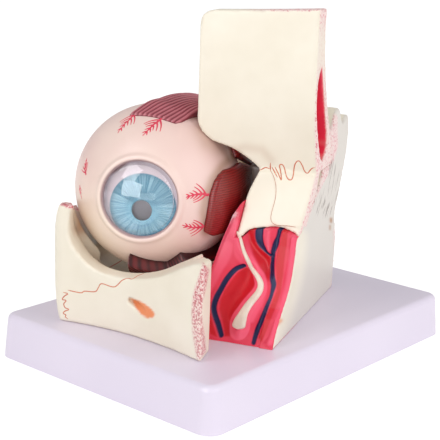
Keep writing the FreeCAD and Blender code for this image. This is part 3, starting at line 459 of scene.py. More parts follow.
def brushed_paint(name, tones, scale, roughness, detail=4.0, marks=(), strength=0.3, depth=0.0003, coat=0.0):
    """A brushed coat whose tone varies a little with the brush, under the colours of marks on the mesh."""
    material, tree, _, cloud, tone = mottled(name, scale, detail)
    colour = layered(tree, linear(tones[0]), [(tone, tones[1]), *marks])
    gloss = {"Roughness": roughness, "IOR": 1.5, "Coat Weight": coat, "Coat Roughness": 0.2}
    coated(tree, colour, gloss, (cloud, strength, depth))
    return material


def muscle_paint(name, ridge, groove):
    """Ribbed vinyl muscle: semi-gloss red paint that is darker in the grooves between its fibres."""
    material, tree = new_material(name)
    place = node(tree, "ShaderNodeTexCoord").outputs["Object"]
    cloud = node(tree, "ShaderNodeTexNoise", {"Vector": place, "Scale": 60.0, "Detail": 3.0})
    fibre = node(tree, "ShaderNodeAttribute", attribute_name="fibre").outputs["Fac"]
    shade = node(tree, "ShaderNodeMath", {0: cloud, 1: 0.5}, operation="SUBTRACT")
    shade = node(tree, "ShaderNodeMath", {0: shade, 1: fibre}, operation="ADD")
    tone = node(tree, "ShaderNodeMapRange", {0: shade, 1: 0.05, 2: 0.8})
    coated(tree, layered(tree, linear(groove), [(tone, ridge), ("edge", "#D98A6A")]), {"Roughness": 0.36, "IOR": 1.5})
    return material


def iris_print():
    """Painted iris under the clear dome: pale fibres that run out from the pupil over blue."""
    material, tree = new_material("painted_iris")
    right, up = (node(tree, "ShaderNodeAttribute", attribute_name=mark).outputs["Fac"]
                 for mark in ("iris_right", "iris_up"))
    spot = node(tree, "ShaderNodeCombineXYZ", {0: right, 1: up})
    distance = node(tree, "ShaderNodeVectorMath", {0: spot}, operation="LENGTH")
    # the direction alone drives the pattern, so each fibre runs straight out from the pupil
    ray = node(tree, "ShaderNodeVectorMath", {0: spot}, operation="NORMALIZE")
    fine = node(tree, "ShaderNodeTexNoise", {"Vector": ray, "Scale": 13.0, "Detail": 3.0, "Roughness": 0.7})
    fibres = node(tree, "ShaderNodeMapRange", {0: fine, 1: 0.42, 2: 0.62})
    broad = node(tree, "ShaderNodeTexNoise", {"Vector": ray, "Scale": 3.0, "Detail": 1.0})
    # upper iris darker teal and the lower paler: painted reflection of the window's haze on the dome's lower part
    high = node(tree, "ShaderNodeMapRange", {0: up, 1: 0.05, 2: 0.16})
    fade = node(tree, "ShaderNodeMapRange", {0: distance, 1: 0.36, 2: 0.62, 3: 0.15, 4: 0.75})
    strength = node(tree, "ShaderNodeMath", {0: fibres, 1: fade}, operation="MULTIPLY")
    rim = node(tree, "ShaderNodeMapRange", {0: distance, 1: 0.86, 2: 1.0, 3: 0.0, 4: 0.75})
    outside = node(tree, "ShaderNodeMapRange", {0: distance, 1: 0.99, 2: 1.02})
    colour = layered(tree, linear("#3F7A90"), [
        (broad, "#6494A6"), (high, "#2C6A80"), (strength, "#8FB0BC"), (rim, "#33667A"), (outside, "#C4B0B4"),
        # mauve painted shadow of the recess's lip
        ("recess_shade", "#86605F")])
    coated(tree, colour, {"Roughness": 0.4, "IOR": 1.5})
    return material


def clear_acrylic(name, tint, milk, clear=1.0):
    """Polished clear acrylic, IOR 1.49.  Light passes it without a hard shadow, as through a thin dome,
    and straight through the seat where it is bonded in.
    """
    material, tree = new_material(name)
    glass = node(tree, "ShaderNodeBsdfPrincipled", {
        "Base Color": linear(tint), "Roughness": milk, "IOR": 1.49, "Transmission Weight": clear})
    straight = node(tree, "ShaderNodeBsdfTransparent", {0: linear(tint)})
    shadow = node(tree, "ShaderNodeLightPath").outputs["Is Shadow Ray"]
    seat = node(tree, "ShaderNodeAttribute", attribute_name="seat").outputs["Fac"]
    plain = node(tree, "ShaderNodeMath", {0: shadow, 1: seat}, operation="MAXIMUM")
    shader = node(tree, "ShaderNodeMixShader", {0: plain, 1: glass, 2: straight})
    node(tree, "ShaderNodeOutputMaterial", {0: shader})
    return material


def moulded_plastic():
    """Injection-moulded white ABS of the base: cool white and semi-gloss, with a spark-eroded grain that is
    drawn 0.7 mm coarse so that it shows.
    """
    material, tree, place, _, tone = mottled("moulded_white_abs", 9.0, 2.0, 0.3, 0.7)
    grain = node(tree, "ShaderNodeTexNoise", {"Vector": place, "Scale": 1400.0, "Detail": 2.0})
    coated(tree, layered(tree, linear("#ECE3F3"), [(tone, "#E7DEEF")]), {"Roughness": 0.34, "IOR": 1.53},
           (grain, 0.12, 0.0001))
    return material


def turned_metal(name, code, roughness):
    """Bright turned metal; rings of the lathe tool, drawn 0.4 mm apart so that they show, band its gloss."""
    material, tree = new_material(name)
    place = node(tree, "ShaderNodeTexCoord").outputs["Object"]
    rings = node(tree, "ShaderNodeTexWave", {"Vector": place, "Scale": 800.0, "Distortion": 0.4},
                 bands_direction="Z").outputs["Fac"]
    coated(tree, linear(code), {"Metallic": 1.0, "Roughness": roughness}, (rings, 0.1, 0.0001))
    return material


# the same paint twice: the cheek piece's sponge is redder and its flecks are denser
bone_vinyl = painted_casting("painted_bone_vinyl", "#F0C4C4", "#DA6C80", 620.0, 0.56)
sponge_vinyl = painted_casting("painted_bone_vinyl_sponge", "#EC8E9E", "#C02A4C", 820.0, 0.475)
mucosa = mucosa_gloss()
# satin flesh-white paint, blushed pink to the sides, with tan painted shade under the brow and beside the medial muscle
# and mauve painted shade on the recess's bore
sclera = brushed_paint("satin_sclera_paint", ("#F6DDD2", "#F1D2CA"), 22.0, 0.36, 2.0, [
    ("cream", "#F8E6D0"), ("blush", "#E8BEBE"), ("tan", "#A8805F"), ("recess_shade", "#9E7476")], 0.15, 0.0006, 0.15)
# satin orange-red paint that darkens to the macula, with the pale disc where the nerve leaves
retina_coat = brushed_paint("satin_retina_paint", ("#D9693E", "#E07E50"), 70.0, 0.4, 4.0, [
    ("macula", "#9C3A28"), ("disc", "#F3DFAE")], 0.2)
superior_red = muscle_paint("ribbed_muscle_paint_rose", "#C06E78", "#84303C")
medial_red = muscle_paint("ribbed_muscle_paint_dark", "#96201F", "#701817")
# the brown copy of the muscle red is painted shade for the muscle under the eyeball
underside_shade_red = muscle_paint("ribbed_muscle_paint_underside_shade", "#6A1E20", "#3C0E10")
iris_blue = iris_print()
cornea_clear = clear_acrylic("clear_acrylic_dome", "#FBFDFF", 0.0)
lens_clear = clear_acrylic("milky_acrylic_lens", "#D6CAD2", 0.35, 0.84)
vitreous_clear = clear_acrylic("clear_acrylic_body", "#F4F8F8", 0.05)
abs_white = moulded_plastic()
steel = turned_metal("zinc_plated_steel", "#C9CCD0", 0.32)
pin_metal = turned_metal("bright_pin_steel", "#D8D9DA", 0.2)
# fine brush strokes, then matt and satin coats of one colour
suture_paint = brushed_paint("suture_paint_orange_red", ("#C9694A", "#D98A66"), 260.0, 0.45)
vessel_paint = brushed_paint("vessel_paint_red", ("#DC3450", "#E84E66"), 320.0, 0.42)
crease_paint = brushed_paint("crease_paint_brown", ("#C08A72", "#CFA08A"), 260.0, 0.5)
concha_paint = brushed_paint("matt_bone_white", ("#F1E6D6", "#E6DACA"), 160.0, 0.5)
choroid_brown = brushed_paint("matt_choroid_brown", ("#5E2A20", "#74382A"), 120.0, 0.55)
nerve_cream = brushed_paint("nerve_sheath_cream", ("#F0DDB8", "#E6CB9C"), 70.0, 0.45)
tendon_grey = brushed_paint("tendon_white", ("#E9DCD2", "#D9C6BA"), 90.0, 0.45)


# ---------------------------------------------------------------- bones
NASION = 126.95
CUT_HEIGHTS = [28, 50, 70, 89, 97, 110, 128, 165, 240]
CUT_PLACES = [52, 53, 54, 55.3, 57, 59, 61.2, 62, 62]


def cut_at(heights):
    """How far medial the sagittal cut lies at a height."""
    return np.interp(heights, CUT_HEIGHTS, CUT_PLACES)


def facing(points, normals):
    """True where a surface is turned to the camera."""
    return np.einsum("ij,ij->i", normals, CAMERA - points) > 0


def sliced(mesh, place, direction):
    """The part of a closed mesh on the side that a direction points to, closed again at the cut."""
    shape = bmesh.new()
    shape.from_mesh(mesh)
    bmesh.ops.bisect_plane(shape, geom=shape.verts[:] + shape.edges[:] + shape.faces[:], dist=1e-7,
                           plane_co=Vector(place) * MM, plane_no=Vector(direction), clear_inner=True)
    rim = [edge for edge in shape.edges if edge.is_boundary]
    filled = bmesh.ops.holes_fill(shape, edges=rim, sides=0)["faces"]
    bmesh.ops.triangulate(shape, faces=filled)
    half = bpy.data.meshes.new("half")
    shape.to_mesh(half)
    shape.free()
    return half


# the frontal sinus on the cut, as (front, height)
SINUS = [(31, 191), (37.3, 182), (38.6, 171), (36.2, 158.7), (30, 146), (23, 136.8), (17.5, 134), (11.5, 139),
         (11.6, 148.4), (17, 159.5), (25.8, 178)]
NASAL_SUTURE = [
    [(256.5, 169.4), (258.9, 170.4), (262, 169.2), (265.6, 167.5), (269.8, 168.9)],
    [(270.5, 162.7), (270.3, 167), (270.7, 171.5)],
    [(271.9, 167), (274.6, 172), (277.5, 177.4)],
    [(274.9, 167), (278, 173), (281.4, 180.1), (280.5, 170.6), (279.5, 165.8), (281.4, 164.3), (284, 167),
     (286.2, 175.5), (288.4, 179.3), (291.4, 179.6), (293.2, 175.5), (294.5, 165.8), (297.1, 161.3),
     (299.8, 161.5), (302.6, 166.4), (304.6, 171.2), (307.4, 173.3), (310.2, 170.2), (312.3, 168.2),
     (315.1, 167.6)],
]
# the brow's lower edge, where it turns down from the light: a line of brown painted shade
BROW_EDGE_SHADE = [(232, 151), (245, 147), (262, 150), (271, 160)]
NASAL_PLATE = [(270.7, 170.6), (274.1, 177.9), (276, 187.6), (275.3, 198.5), (272.4, 209.4), (270.9, 216.7),
               (271.9, 222.1), (276.8, 225.2), (286.2, 225.8), (295.9, 227.1)]
NASAL_PLATE_FIELD = NASAL_PLATE + [(303, 227), (313, 198), (317, 178), (317, 160), (290, 160)]


def make_forehead():
    """Frontal and nasal bone are one painted surface, so they are modelled together and parted at the suture."""
    points, faces = softened(("frontal_bone", "nasal_bone"), 1.0, 7)
    normals = normals_of(points, faces)
    medial, front, height = to_head(points).T
    on_cut = ramp(medial - cut_at(height), -1.0, -0.25)
    in_sinus = region(np.stack([front, height], 1), SINUS, 1.6, 1.3) * (medial > cut_at(height) - 18)
    red = in_sinus * (1 - ramp(medial - cut_at(height), -0.9, -0.2))
    top = ramp(height, 222.5, 224.5) * ramp(normals[:, 2], 0.35, 0.7)
    pixels = seen_at(points)
    seen = facing(points, normals)
    plate = region(pixels, NASAL_PLATE_FIELD, 2.0) * seen * (1 - on_cut) * (height < NASION - 1)
    points = points + normals * (0.55 * plate)[:, None]
    # the brown mark here is painted shade along the brow's lower edge
    whole = raw_mesh(points, faces, {"cut": np.maximum(on_cut, top) * (1 - red), "red": red, "grey": 0.25 * on_cut,
                                     "stain_and_shade": 0.22 * spray(pixels, BROW_EDGE_SHADE, 5) * seen})
    for bone, side in (("frontal_bone", 1), ("nasal_bone", -1)):
        settle(sliced(whole, (0, 0, NASION), (0, 0, side)), bone + "_casting", bone_vinyl, "stand", (bone,))
    surface = surface_of(points, faces)
    painted_lines("frontonasal_suture", surface, NASAL_SUTURE, 0.36, 0.16, suture_paint)
    painted_lines("nasal_plate_crease", surface, [NASAL_PLATE], 0.24, 0.1, crease_paint)


PINK_BAND = [(316, 160), (320.5, 163), (329, 146), (329, 108), (337.5, 116), (338, 146), (334, 160), (328, 175),
             (322, 186), (316, 198), (309, 217), (306, 227), (304, 226), (307, 211), (311, 196), (315, 184)]
DASHED = [(318, 166), (333, 160), (339, 172), (338, 192), (332, 214), (322, 218), (314, 212)]
WALL_FRONT = [(297, 238), (296, 255), (293, 275), (289, 292), (284, 307), (280, 320), (276, 330), (273, 349)]
WALL_REAR = [(335.5, 231), (336.5, 255), (335, 275), (332, 289)]
SEPTUM_SPOTS = [([(331, 219), (331, 221.5)], 1.5, 1.0), ([(330, 226), (330, 229)], 1.2, 0.7)]
SUTURE_SMEAR = [(278, 323.5), (281, 320.5)]


def make_septum():
    """The sagittal cut: greyish ivory, greyer away from its front edge, with a sponge band along the forehead and
    rubbed dashes.
    """
    points, faces = softened(("nasal_septum",), 1.0, 6)
    flat = to_head(points)
    medial, _, height = flat.T
    # the foot that reaches under the mucosa stays behind it
    flat[:, 1] -= 3.0 * ramp(cut_at(height) - medial, 0.2, 1.6) * ramp(height, 56, 46) * ramp(flat[:, 1], 40, 50)
    points = from_head(flat)
    pixels = seen_at(points)
    on_cut = ramp(medial - cut_at(height), -1.9, -0.9)
    spots = sum(strength * spray(pixels, path, width) for path, width, strength in SEPTUM_SPOTS)
    marks = {"cut": np.maximum(region(pixels, PINK_BAND, 2.0), 0.8 * spray(pixels, WALL_REAR, 2.2)) * on_cut,
             "grey": 0.85 * on_cut * ramp(path_distance(pixels, WALL_FRONT), 3, 16),
             "stain_and_shade": np.clip(spots, 0, 1) * on_cut, "dash": region(pixels, DASHED, 5.0) * on_cut,
             "orange": 0.8 * spray(pixels, SUTURE_SMEAR, 1.8)}
    piece("nasal_septum_casting", points, faces, bone_vinyl, "stand", ("nasal_septum",), "bone_paint", marks)


SPONGE_FRONT = [(203, 262), (200, 273), (193.4, 293), (191.8, 312), (192.3, 329), (194.6, 345.7), (197.9, 361.3)]
SPONGE_REAR = [(206, 352), (205, 338), (203, 325), (202, 312), (203, 300), (205.5, 290), (207.5, 280), (209, 270)]
CHEEK_SUTURE = [
    [(67.9, 290.2), (80.7, 292.8), (84.6, 291.2), (95.2, 291.6), (98.6, 287.1), (101.9, 283.7), (114.2, 286.9),
     (122, 280.4), (127.6, 278.5), (132.6, 278.9), (137.6, 275.9), (143.8, 273.5)],
    [(63.2, 292.3), (67.9, 293.8), (64.5, 296), (62.2, 299.4), (66.2, 300.5), (63.8, 303.8), (65.1, 307.7),
     (69, 309.4), (65, 311.1), (63.2, 313.3), (66, 315), (65.2, 316.7), (67.9, 318.9)],
    [(109.2, 267.5), (112, 265.9), (116.4, 263.6), (122, 260.3)],
]
FORAMEN = [(131, 298.6), (138.9, 300.6), (144.4, 303.6), (151, 308.6), (155, 313.8), (153.3, 317.4), (147.6, 318.2),
           (142, 315), (136.5, 308.8)]
RIM_PLACES = [80, 93, 104, 126, 147, 164, 180, 202, 212]
RIM_DROPS = [0, 2.4, 3.8, 4.3, 4.8, 5.0, 4.3, 5.0, 7.0]
# where the socket lies in shade beside the eyeball, and the floor below it: tan painted shade
SOCKET_SHADE = [(80, 214), (80, 228)]
SOCKET_FLOOR_SHADE = [(86, 238), (93, 249), (101, 258)]
# the way that the eyeball takes out of the orbit
LIFT = np.array([-0.759777, 0.036099, 0.649181])
# side wall of the orbit behind the column: its outline as (medial, front), its top as (front, height)
SIDE_WALL = [(-87.5, 65), (-96.5, 57), (-100, 49), (-102.3, 41), (-103, 33), (-102, 26), (-99.5, 21.5)]
SIDE_FRONTS = [20, 26, 34, 42, 50, 58, 67]
SIDE_HEIGHTS = [87, 89, 91.8, 93.8, 95.7, 98, 101]
COLUMN_TOP = [(62.5, 203), (66, 200), (84, 200), (85, 209), (78, 211), (72, 208.5), (65, 207)]


def side_wall():
    """The side wall of the orbit: hollowed as far as the eyeball needs on its way out."""
    room, deepest, low = 55.2, 22.0, 28.3
    ways = [unit(HEAD @ way) for way in (LIFT, LIFT - GAZE * 0.5)]
    stations = through(SIDE_WALL, 60)
    rows, steps = [], np.linspace(0, deepest, 100)
    for medial, front in stations:
        top = np.interp(front, SIDE_FRONTS, SIDE_HEIGHTS)
        inward = unit(EYE_IN_HEAD[:2] - (medial, front))
        outer, inner = [], []
        for height in np.linspace(low, top, 60):
            spots = np.array([(medial, front, height)]) + steps[:, None] * np.array([*inward, 0])
            arm = spots - EYE_IN_HEAD
            free = np.linalg.norm(arm, axis=1) > room
            for way in ways:
                along = arm @ way
                free &= (along < 0) | (np.linalg.norm(arm - along[:, None] * way, axis=1) > room)
            reach = steps[len(steps) - 1 if free.all() else max(int(np.argmin(free)), 2)]
            outer.append((medial, front, height))
            inner.append((medial + inward[0] * reach, front + inward[1] * reach, height))
        rows.append(outer + inner[::-1])
    return raw_mesh(from_head(np.array(rows).reshape(-1, 3)), tube_faces(len(rows), len(rows[0])))


def make_maxilla():
    """Cheek bone and orbital floor; its cut side is sponge and the foramen a slanted orange pocket."""
    points, faces = softened(("maxilla",), 1.15, 7, side_wall())
    # the rim is lower and rounder towards its nasal end than at the cheek
    across, height = seen_at(points)[:, 0], points[:, 2]
    drop = np.interp(across, RIM_PLACES, RIM_DROPS)
    points[:, 2] -= drop * ramp(height, 46, 74) * (to_head(points)[:, 1] > 56)
    normals = normals_of(points, faces)
    medial, front, height = to_head(points).T
    pixels = seen_at(points)
    seen = facing(points, normals)
    pocket = region(pixels, FORAMEN, 1.6) * seen * (front > 60)
    sponge = region(pixels, SPONGE_FRONT + SPONGE_REAR, 2.5) * seen * (front > 70)
    column = np.maximum(ramp(height, 94.5, 96.0) * ramp(normals[:, 2], 0.3, 0.7),
                        region(pixels, COLUMN_TOP, 1.2) * seen) * (medial < -60)
    # tan painted shade in the socket beside the eyeball, fainter over the orbit's floor
    shade = 0.8 * spray(pixels, SOCKET_SHADE, 7.5) + 0.12 * spray(pixels, SOCKET_FLOOR_SHADE, 9.0)
    hollow = np.linalg.norm(points - EYE, axis=1) < 66
    marks = {"cut": np.maximum(sponge, column), "stain_and_shade": np.clip(shade, 0, 1) * seen * hollow, "orange": pocket}
    piece("maxilla_casting", points, faces, sponge_vinyl, "stand", ("maxilla",), "bone_paint", marks)
    painted_lines("cheek_sutures", surface_of(points, faces), CHEEK_SUTURE, 0.34, 0.16, suture_paint)


# the orbit's depth seen through the gap: dark paint with painted shade over it
SOCKET_DEPTH_SHADE = [(232, 138), (268, 138), (272, 168), (262, 196), (246, 216), (234, 216)]


def make_orbit_wall():
    """Inner wall of the orbit behind the nasal cavity, seen from the back and through the gap above; where it shows
    through the gap it is dark paint deepened by painted shade.
    """
    points, faces = softened(("medial_orbit_wall",), 1.3, 8)
    marks = {"socket": 0.9 * region(seen_at(points), SOCKET_DEPTH_SHADE, 6.0) * facing(points, normals_of(points, faces))}
    piece("medial_orbit_wall_casting", points, faces, bone_vinyl, "stand", ("medial_orbit_wall",), "bone_paint", marks)


make_forehead()
make_septum()
make_maxilla()
make_orbit_wall()


# ---------------------------------------------------------------- nasal cavity
SLOPE_HEIGHTS = [28, 38, 51, 66, 84, 96, 114]
SLOPE_FRONTS = [71.5, 64, 56.5, 50.5, 45.5, 43.5, 43.0]
SEPTUM_HEIGHTS = [28, 43.5, 50.5, 57.5, 66, 76, 88, 114]
SEPTUM_FRONTS = [72, 63, 55.5, 48.5, 44.3, 43.2, 43, 40]
EDGE_HEIGHTS = [28, 62, 69.5, 84.9, 99.6, 106.5, 113.5]
EDGE_PLACES = [2.0, 2.0, 4.5, 8.6, 13.9, 18.2, 23.4]
BRIDGE = [(26.5, 127), (24.0, 121.5), (20.3, 111.7), (19.2, 104), (18.0, 95), (16.8, 86.5), (20.5, 86.5),
          (25, 91.5), (31, 93.0), (42, 94.5), (50, 93.0), (58, 88.5), (75, 88.5), (75, 127)]
BRIDGE_HEIGHTS = [84, 96, 105, 110, 114]
BRIDGE_INSIDES = [40.0, 33.0, 26.5, 20.5, 20.5]
NAVY = [
    # the painted air passages: middle and half width, in picture points
    [(242.4, 266.6, 2.3), (236.4, 268.8, 2.5), (230.7, 273.9, 2.6), (225.4, 281, 2.6), (220.9, 289.1, 2.6),
     (216.9, 296.3, 2.7), (214.2, 303.4, 2.7), (213.3, 309.6, 2.6), (214.6, 317.7, 2.4), (217.3, 325.7, 2.3),
     (220.6, 336, 2.2)],
    [(280.4, 226, 2.6), (278, 236.4, 1.9), (275.8, 243.6, 2.8), (273.1, 252.5, 2.1), (272, 261.4, 2.1),
     (271.3, 268.6, 2.8), (272.2, 277.5, 2.8), (273.6, 284.6, 2.6), (272.2, 291.8, 1.8), (270.4, 298, 1.7),
     (267.3, 305.2, 2.0), (263.8, 314.1, 2.3), (260.2, 323, 2.4), (256.6, 331.1, 2.4), (253.4, 343, 2.2)],
    [(259.8, 226, 4.0), (258.8, 237.3, 4.1), (260.6, 244.5, 3.5), (263.8, 248.9, 2.6), (267.3, 252.9, 1.7),
     (270.4, 255.6, 1.5)],
]
DEEP_SHADE = [
    # deep red hollows, painted shade, as outlines in picture points
    [(245, 268.6), (237, 273), (229.8, 282.9), (223.6, 291.8), (220, 300.7), (218.2, 309.6), (219.1, 317.7),
     (221.8, 327.5), (224, 337), (229, 337), (229.5, 329), (228.8, 322.1), (232, 317), (237.4, 310.8), (242.4, 303),
     (247.6, 295.6), (252.6, 288.6), (254.6, 283.4), (252.6, 278), (249, 272.5)],
    [(247.5, 228), (246.6, 236), (248.6, 244.5), (252.3, 254.3), (257.6, 263.2), (262, 271.3), (265.8, 277.5),
     (269.1, 281), (270, 272.1), (269.1, 263.2), (270, 257), (262.9, 250.7), (257.5, 245.4), (254.8, 238.2),
     (254.8, 228)],
    [(282, 226), (280.5, 240), (277.5, 252), (275.5, 265), (276.5, 280), (276.5, 291), (271.5, 303), (265.5, 318),
     (258, 338), (262, 342), (269, 324), (275, 309), (280.5, 293), (282.5, 278), (284, 262), (286.5, 246), (288, 230)],
    [(205.5, 300), (204, 312), (206, 324), (210.5, 334), (217, 337), (213, 325), (210.5, 312), (211, 302)],
]
PALE_LIGHT = [
    # pale pink ridges, painted light where they turn to the lamps, as bands in picture points; the first is a painted
    # highlight along the septum's edge
    [(294.5, 236, 2.4), (292.5, 255, 2.4), (290.5, 272, 2.6), (288, 288, 2.6), (284, 301, 2.6), (279.5, 314, 2.4),
     (275, 328, 2.2), (270.5, 343, 2.2)],
    [(233, 224, 6), (228, 240, 7), (224, 256, 6), (217, 270, 4.5), (210.5, 285, 3.5), (206, 296, 2), (202.5, 308, 0.5)],
    [(237, 238, 3), (239, 252, 4), (243, 262, 2.5)],
    [(266.5, 230, 3.4), (267.5, 240, 2.2), (269.5, 249, 0.6)],
    [(263.8, 292, 2.8), (260.5, 301, 3.2), (255.5, 310, 3.2), (251.5, 319, 2.8)],
]
FOLDS = [
    # hollows and ridges: path, half width in picture points, rise in millimetres
    ([(249, 271), (245, 282), (238, 294), (229, 306), (225, 318), (229, 328)], 8.5, -5.0),
    ([(246, 236), (250, 246), (257, 255), (264, 262), (267, 272)], 6.0, -3.6),
    ([(285, 232), (282, 250), (280, 268), (281, 284), (277, 298), (270, 314), (263, 332)], 6.0, -4.2),
    ([(240, 238), (245, 252), (252, 264), (260, 277), (264, 288), (259, 300), (250, 314), (238, 330)], 7.0, 2.4),
    ([(292, 240), (292, 262), (288, 284), (282, 304), (275, 324), (270, 342)], 5.0, 1.6),
    ([(270, 232), (269, 242), (270, 250)], 4.5, 1.8),
    ([(236, 225), (226, 245), (217, 268), (207, 292)], 9.0, 1.2),
]
SPONGE_SPOT = [(229, 219), (234, 214)]
MUCOSA_BOTTOM, MUCOSA_TOP = 28.1, 112.8
SEPTUM_GAP, NAVY_DEPTH = 0.45, 1.1
REAR_FACE, ORBIT_ROOM = 20.1, 61.6
STRIP = [
    # the bone strip from the tip of the nasal bone down: middle and half width, in picture points
    (236.5, 231.5, 1.7), (240.4, 238.5, 1.7), (242.3, 246, 1.7), (244.6, 253, 1.9), (249, 262, 2.1),
    (254, 270.5, 2.3), (258.2, 277, 2.6), (261, 283.5, 3.0), (260.6, 289.5, 3.3), (257.3, 295, 3.6),
    (252, 301.3, 4.0), (247.3, 307.5, 4.5), (243.5, 314, 5.2), (240.8, 320, 6.8), (238.8, 325.5, 7.8),
    (237.9, 329.5, 7.0),
]


def mucosa_front(medial, height):
    """Front of the mucosa before its relief: the slope, rolled back to the septum's edge at the cut."""
    slope = np.interp(height, SLOPE_HEIGHTS, SLOPE_FRONTS)
    edge = np.interp(height, SEPTUM_HEIGHTS, SEPTUM_FRONTS) + 0.5
    slope = np.where(medial > cut_at(height) - 8.5, np.maximum(slope, edge), slope)
    roll = ramp(medial - cut_at(height), -4.5, -0.4) ** 2
    return slope + (edge - slope) * roll


def make_nasal_cavity():
    """Lateral wall of the nose: glossy mucosa with scrolled conchae, hollows and painted air passages."""
    rows, columns = 250, 160
    height = np.linspace(MUCOSA_BOTTOM, MUCOSA_TOP, rows)[:, None] * np.ones((1, columns))
    left = np.interp(height, EDGE_HEIGHTS, EDGE_PLACES)
    right = cut_at(height) - SEPTUM_GAP
    medial = left + (right - left) * np.linspace(0, 1, columns)[None, :]
    front = mucosa_front(medial, height)
    flat = np.stack([medial.ravel(), front.ravel(), height.ravel()], axis=1)
    pixels = seen_at(from_head(flat))
    relief = sum(rise * spray(pixels, through(path, 40), width) for path, width, rise in FOLDS)
    navy = np.zeros(len(flat))
    for stations in NAVY:
        reach = swath(pixels, through(stations, 60))
        navy = np.maximum(navy, 1 - ramp(reach, -0.5, 0.5))
        relief -= NAVY_DEPTH * (1 - ramp(reach, -1.6, 1.2))
    strip = swath(pixels, through(STRIP, 60))
    # pale rim round the bone strip and pale ridges: painted light; deep red in the hollows: painted shade
    rim = (1 - ramp(strip, 3.0, 4.6)) * ramp(pixels[:, 1], 238, 262)
    deep = np.max([region(pixels, outline, 2.4) for outline in DEEP_SHADE], axis=0)
    ridges = [0.85 * (1 - ramp(swath(pixels, through(stations, 40)), -1.5, 2.5)) for stations in PALE_LIGHT]
    pale = np.max([rim, *ridges], axis=0)
    border = np.minimum(medial - left, right - medial).ravel()
    relief *= ramp(border, 0.0, 2.5)
    shallow = 1 - 0.9 * ramp(flat[:, 0] - cut_at(flat[:, 2]), -14, -9.5)
    relief = np.where(relief < 0, relief * shallow, relief)
    under = region(flat[:, [0, 2]], BRIDGE, 0.5)
    inner = np.interp(flat[:, 2], BRIDGE_HEIGHTS, BRIDGE_INSIDES)
    carved = flat[:, 1] + relief
    edge = np.interp(flat[:, 2], SEPTUM_HEIGHTS, SEPTUM_FRONTS) + 0.15
    carved = np.where(flat[:, 0] > cut_at(flat[:, 2]) - 9, np.maximum(carved, edge), carved)
    flat[:, 1] = carved * (1 - under) + np.minimum(inner, carved) * under
    points = from_head(flat)
    faces = grid_faces(rows, columns)
    # the walls behind the border, back to the rear face; the lateral one follows the orbit's ball
    border = (list(range(columns)) + [r * columns + columns - 1 for r in range(1, rows)]
              + [(rows - 1) * columns + c for c in range(columns - 2, -1, -1)]
              + [r * columns for r in range(rows - 2, 0, -1)])
    ring = flat[border]
    layers = [np.array(border)]
    total = [points]
    count = len(points)
    for share in np.linspace(0.2, 1, 5):
        layer = ring.copy()
        layer[:, 1] = ring[:, 1] + (REAR_FACE - ring[:, 1]) * share
        arm = layer - EYE_IN_HEAD
        room = np.clip(ORBIT_ROOM ** 2 - arm[:, 1] ** 2 - arm[:, 2] ** 2, 0, None)
        layer[:, 0] = np.maximum(layer[:, 0], EYE_IN_HEAD[0] + np.sqrt(room))
        total.append(from_head(layer))
        layers.append(np.arange(count, count + len(border)))
        count += len(border)
    for outer, inner_layer in zip(layers[:-1], layers[1:]):
        for k in range(len(border)):
            n = (k + 1) % len(border)
            faces.append((outer[k], outer[n], inner_layer[n], inner_layer[k]))
    faces.append(tuple(layers[-1]))
    points = np.vstack(total)
    marks = {"navy": navy, "deep": deep * (1 - rim), "pale": pale, "cut": 0.9 * spray(pixels, SPONGE_SPOT, 3.4)}
    marks = {mark: np.pad(values, (0, len(points) - len(flat))) for mark, values in marks.items()}
    piece("nasal_mucosa", points, faces, mucosa, "stand", ("nasal_cavity",), "mucosa_paint", marks)
    return surface_of(points, faces)


def make_concha(surface):
    """The bare bone strip, a low rounded bar on the mucosa that widens to its lower end."""
    point_size, half_height, proud = 0.6, 1.5, 0.2
    places, normals, widths = [], [], []
    for x, y, half in through(STRIP, 110):
        place, normal = landed([(x, y)], surface)
        side, _ = landed([(x + 1, y)], surface)
        if len(place) and len(side):
            places.append(place[0])
            normals.append(normal[0])
            widths.append(half * point_size)
    places, normals = np.array(places), np.array(normals)
    rest = normals.mean(axis=0)
    for _ in range(14):
        places[1:-1] = (places[:-2] + 2 * places[1:-1] + places[2:]) / 4
        normals[1:-1] = (normals[:-2] + normals[1:-1] + normals[2:]) / 3
    along = np.gradient(places, axis=0)
    points, rings = [], 20
    for k, (place, normal, run, half) in enumerate(zip(places, normals, along, widths)):
        out = unit(0.5 * unit(normal) + 0.5 * unit(rest))
        side = unit(np.cross(out, run))
        end = min(k, len(places) - 1 - k)
        close = math.sqrt(1 - (1 - min(end, 4) / 4.001) ** 2) if end < 4 else 1.0
        for turn in range(rings):
            angle = 2 * math.pi * turn / rings
            across, rise = math.cos(angle), math.sin(angle)
            box = (abs(across) ** 3 + abs(rise) ** 3) ** (-1 / 3)
            points.append(place + side * (across * box * half * close)
                          + out * (rise * box * half_height * max(close, 0.35) + proud))
    piece("inferior_concha_strip", points, tube_faces(len(places), rings), concha_paint, "stand",
          ("inferior_concha",), "bone_paint")


make_concha(make_nasal_cavity())


# ---------------------------------------------------------------- eyeball shells
EYE_PLACE = Matrix([list(EYE_X), list(EYE_Y), list(GAZE)]).transposed()
BALL, SHELL = 52.8, 49.6
HALF_GAP = 0.15
DOME, DOME_DEPTH = 33.5, 22.89
LENS_REAR, LENS_REAR_DEPTH = 26.0, 49.83
APEX = unit(OPTICAL @ (36 * MEDIAL - 74 * FRONT))


def seam_angle(radius):
    """Degrees from the line of sight at which a shell ends, short of the seam of the two halves."""
    return math.degrees(math.acos(HALF_GAP / radius))


def shell_piece(name, profile, material, body, node_name, slot, paint=None, segments=256, axis=None):
    """A shell turned about the line of sight, or about another axis of the optical frame."""
    points, faces = turned(profile, segments)
    if axis is not None:
        first = unit(np.cross((0, 1, 0), axis))
        points = points @ np.array([first, np.cross(axis, first), axis])
    marks = paint(points) if paint else None
    return piece(name, from_eye(points), faces, material, body, (node_name,), slot, marks)


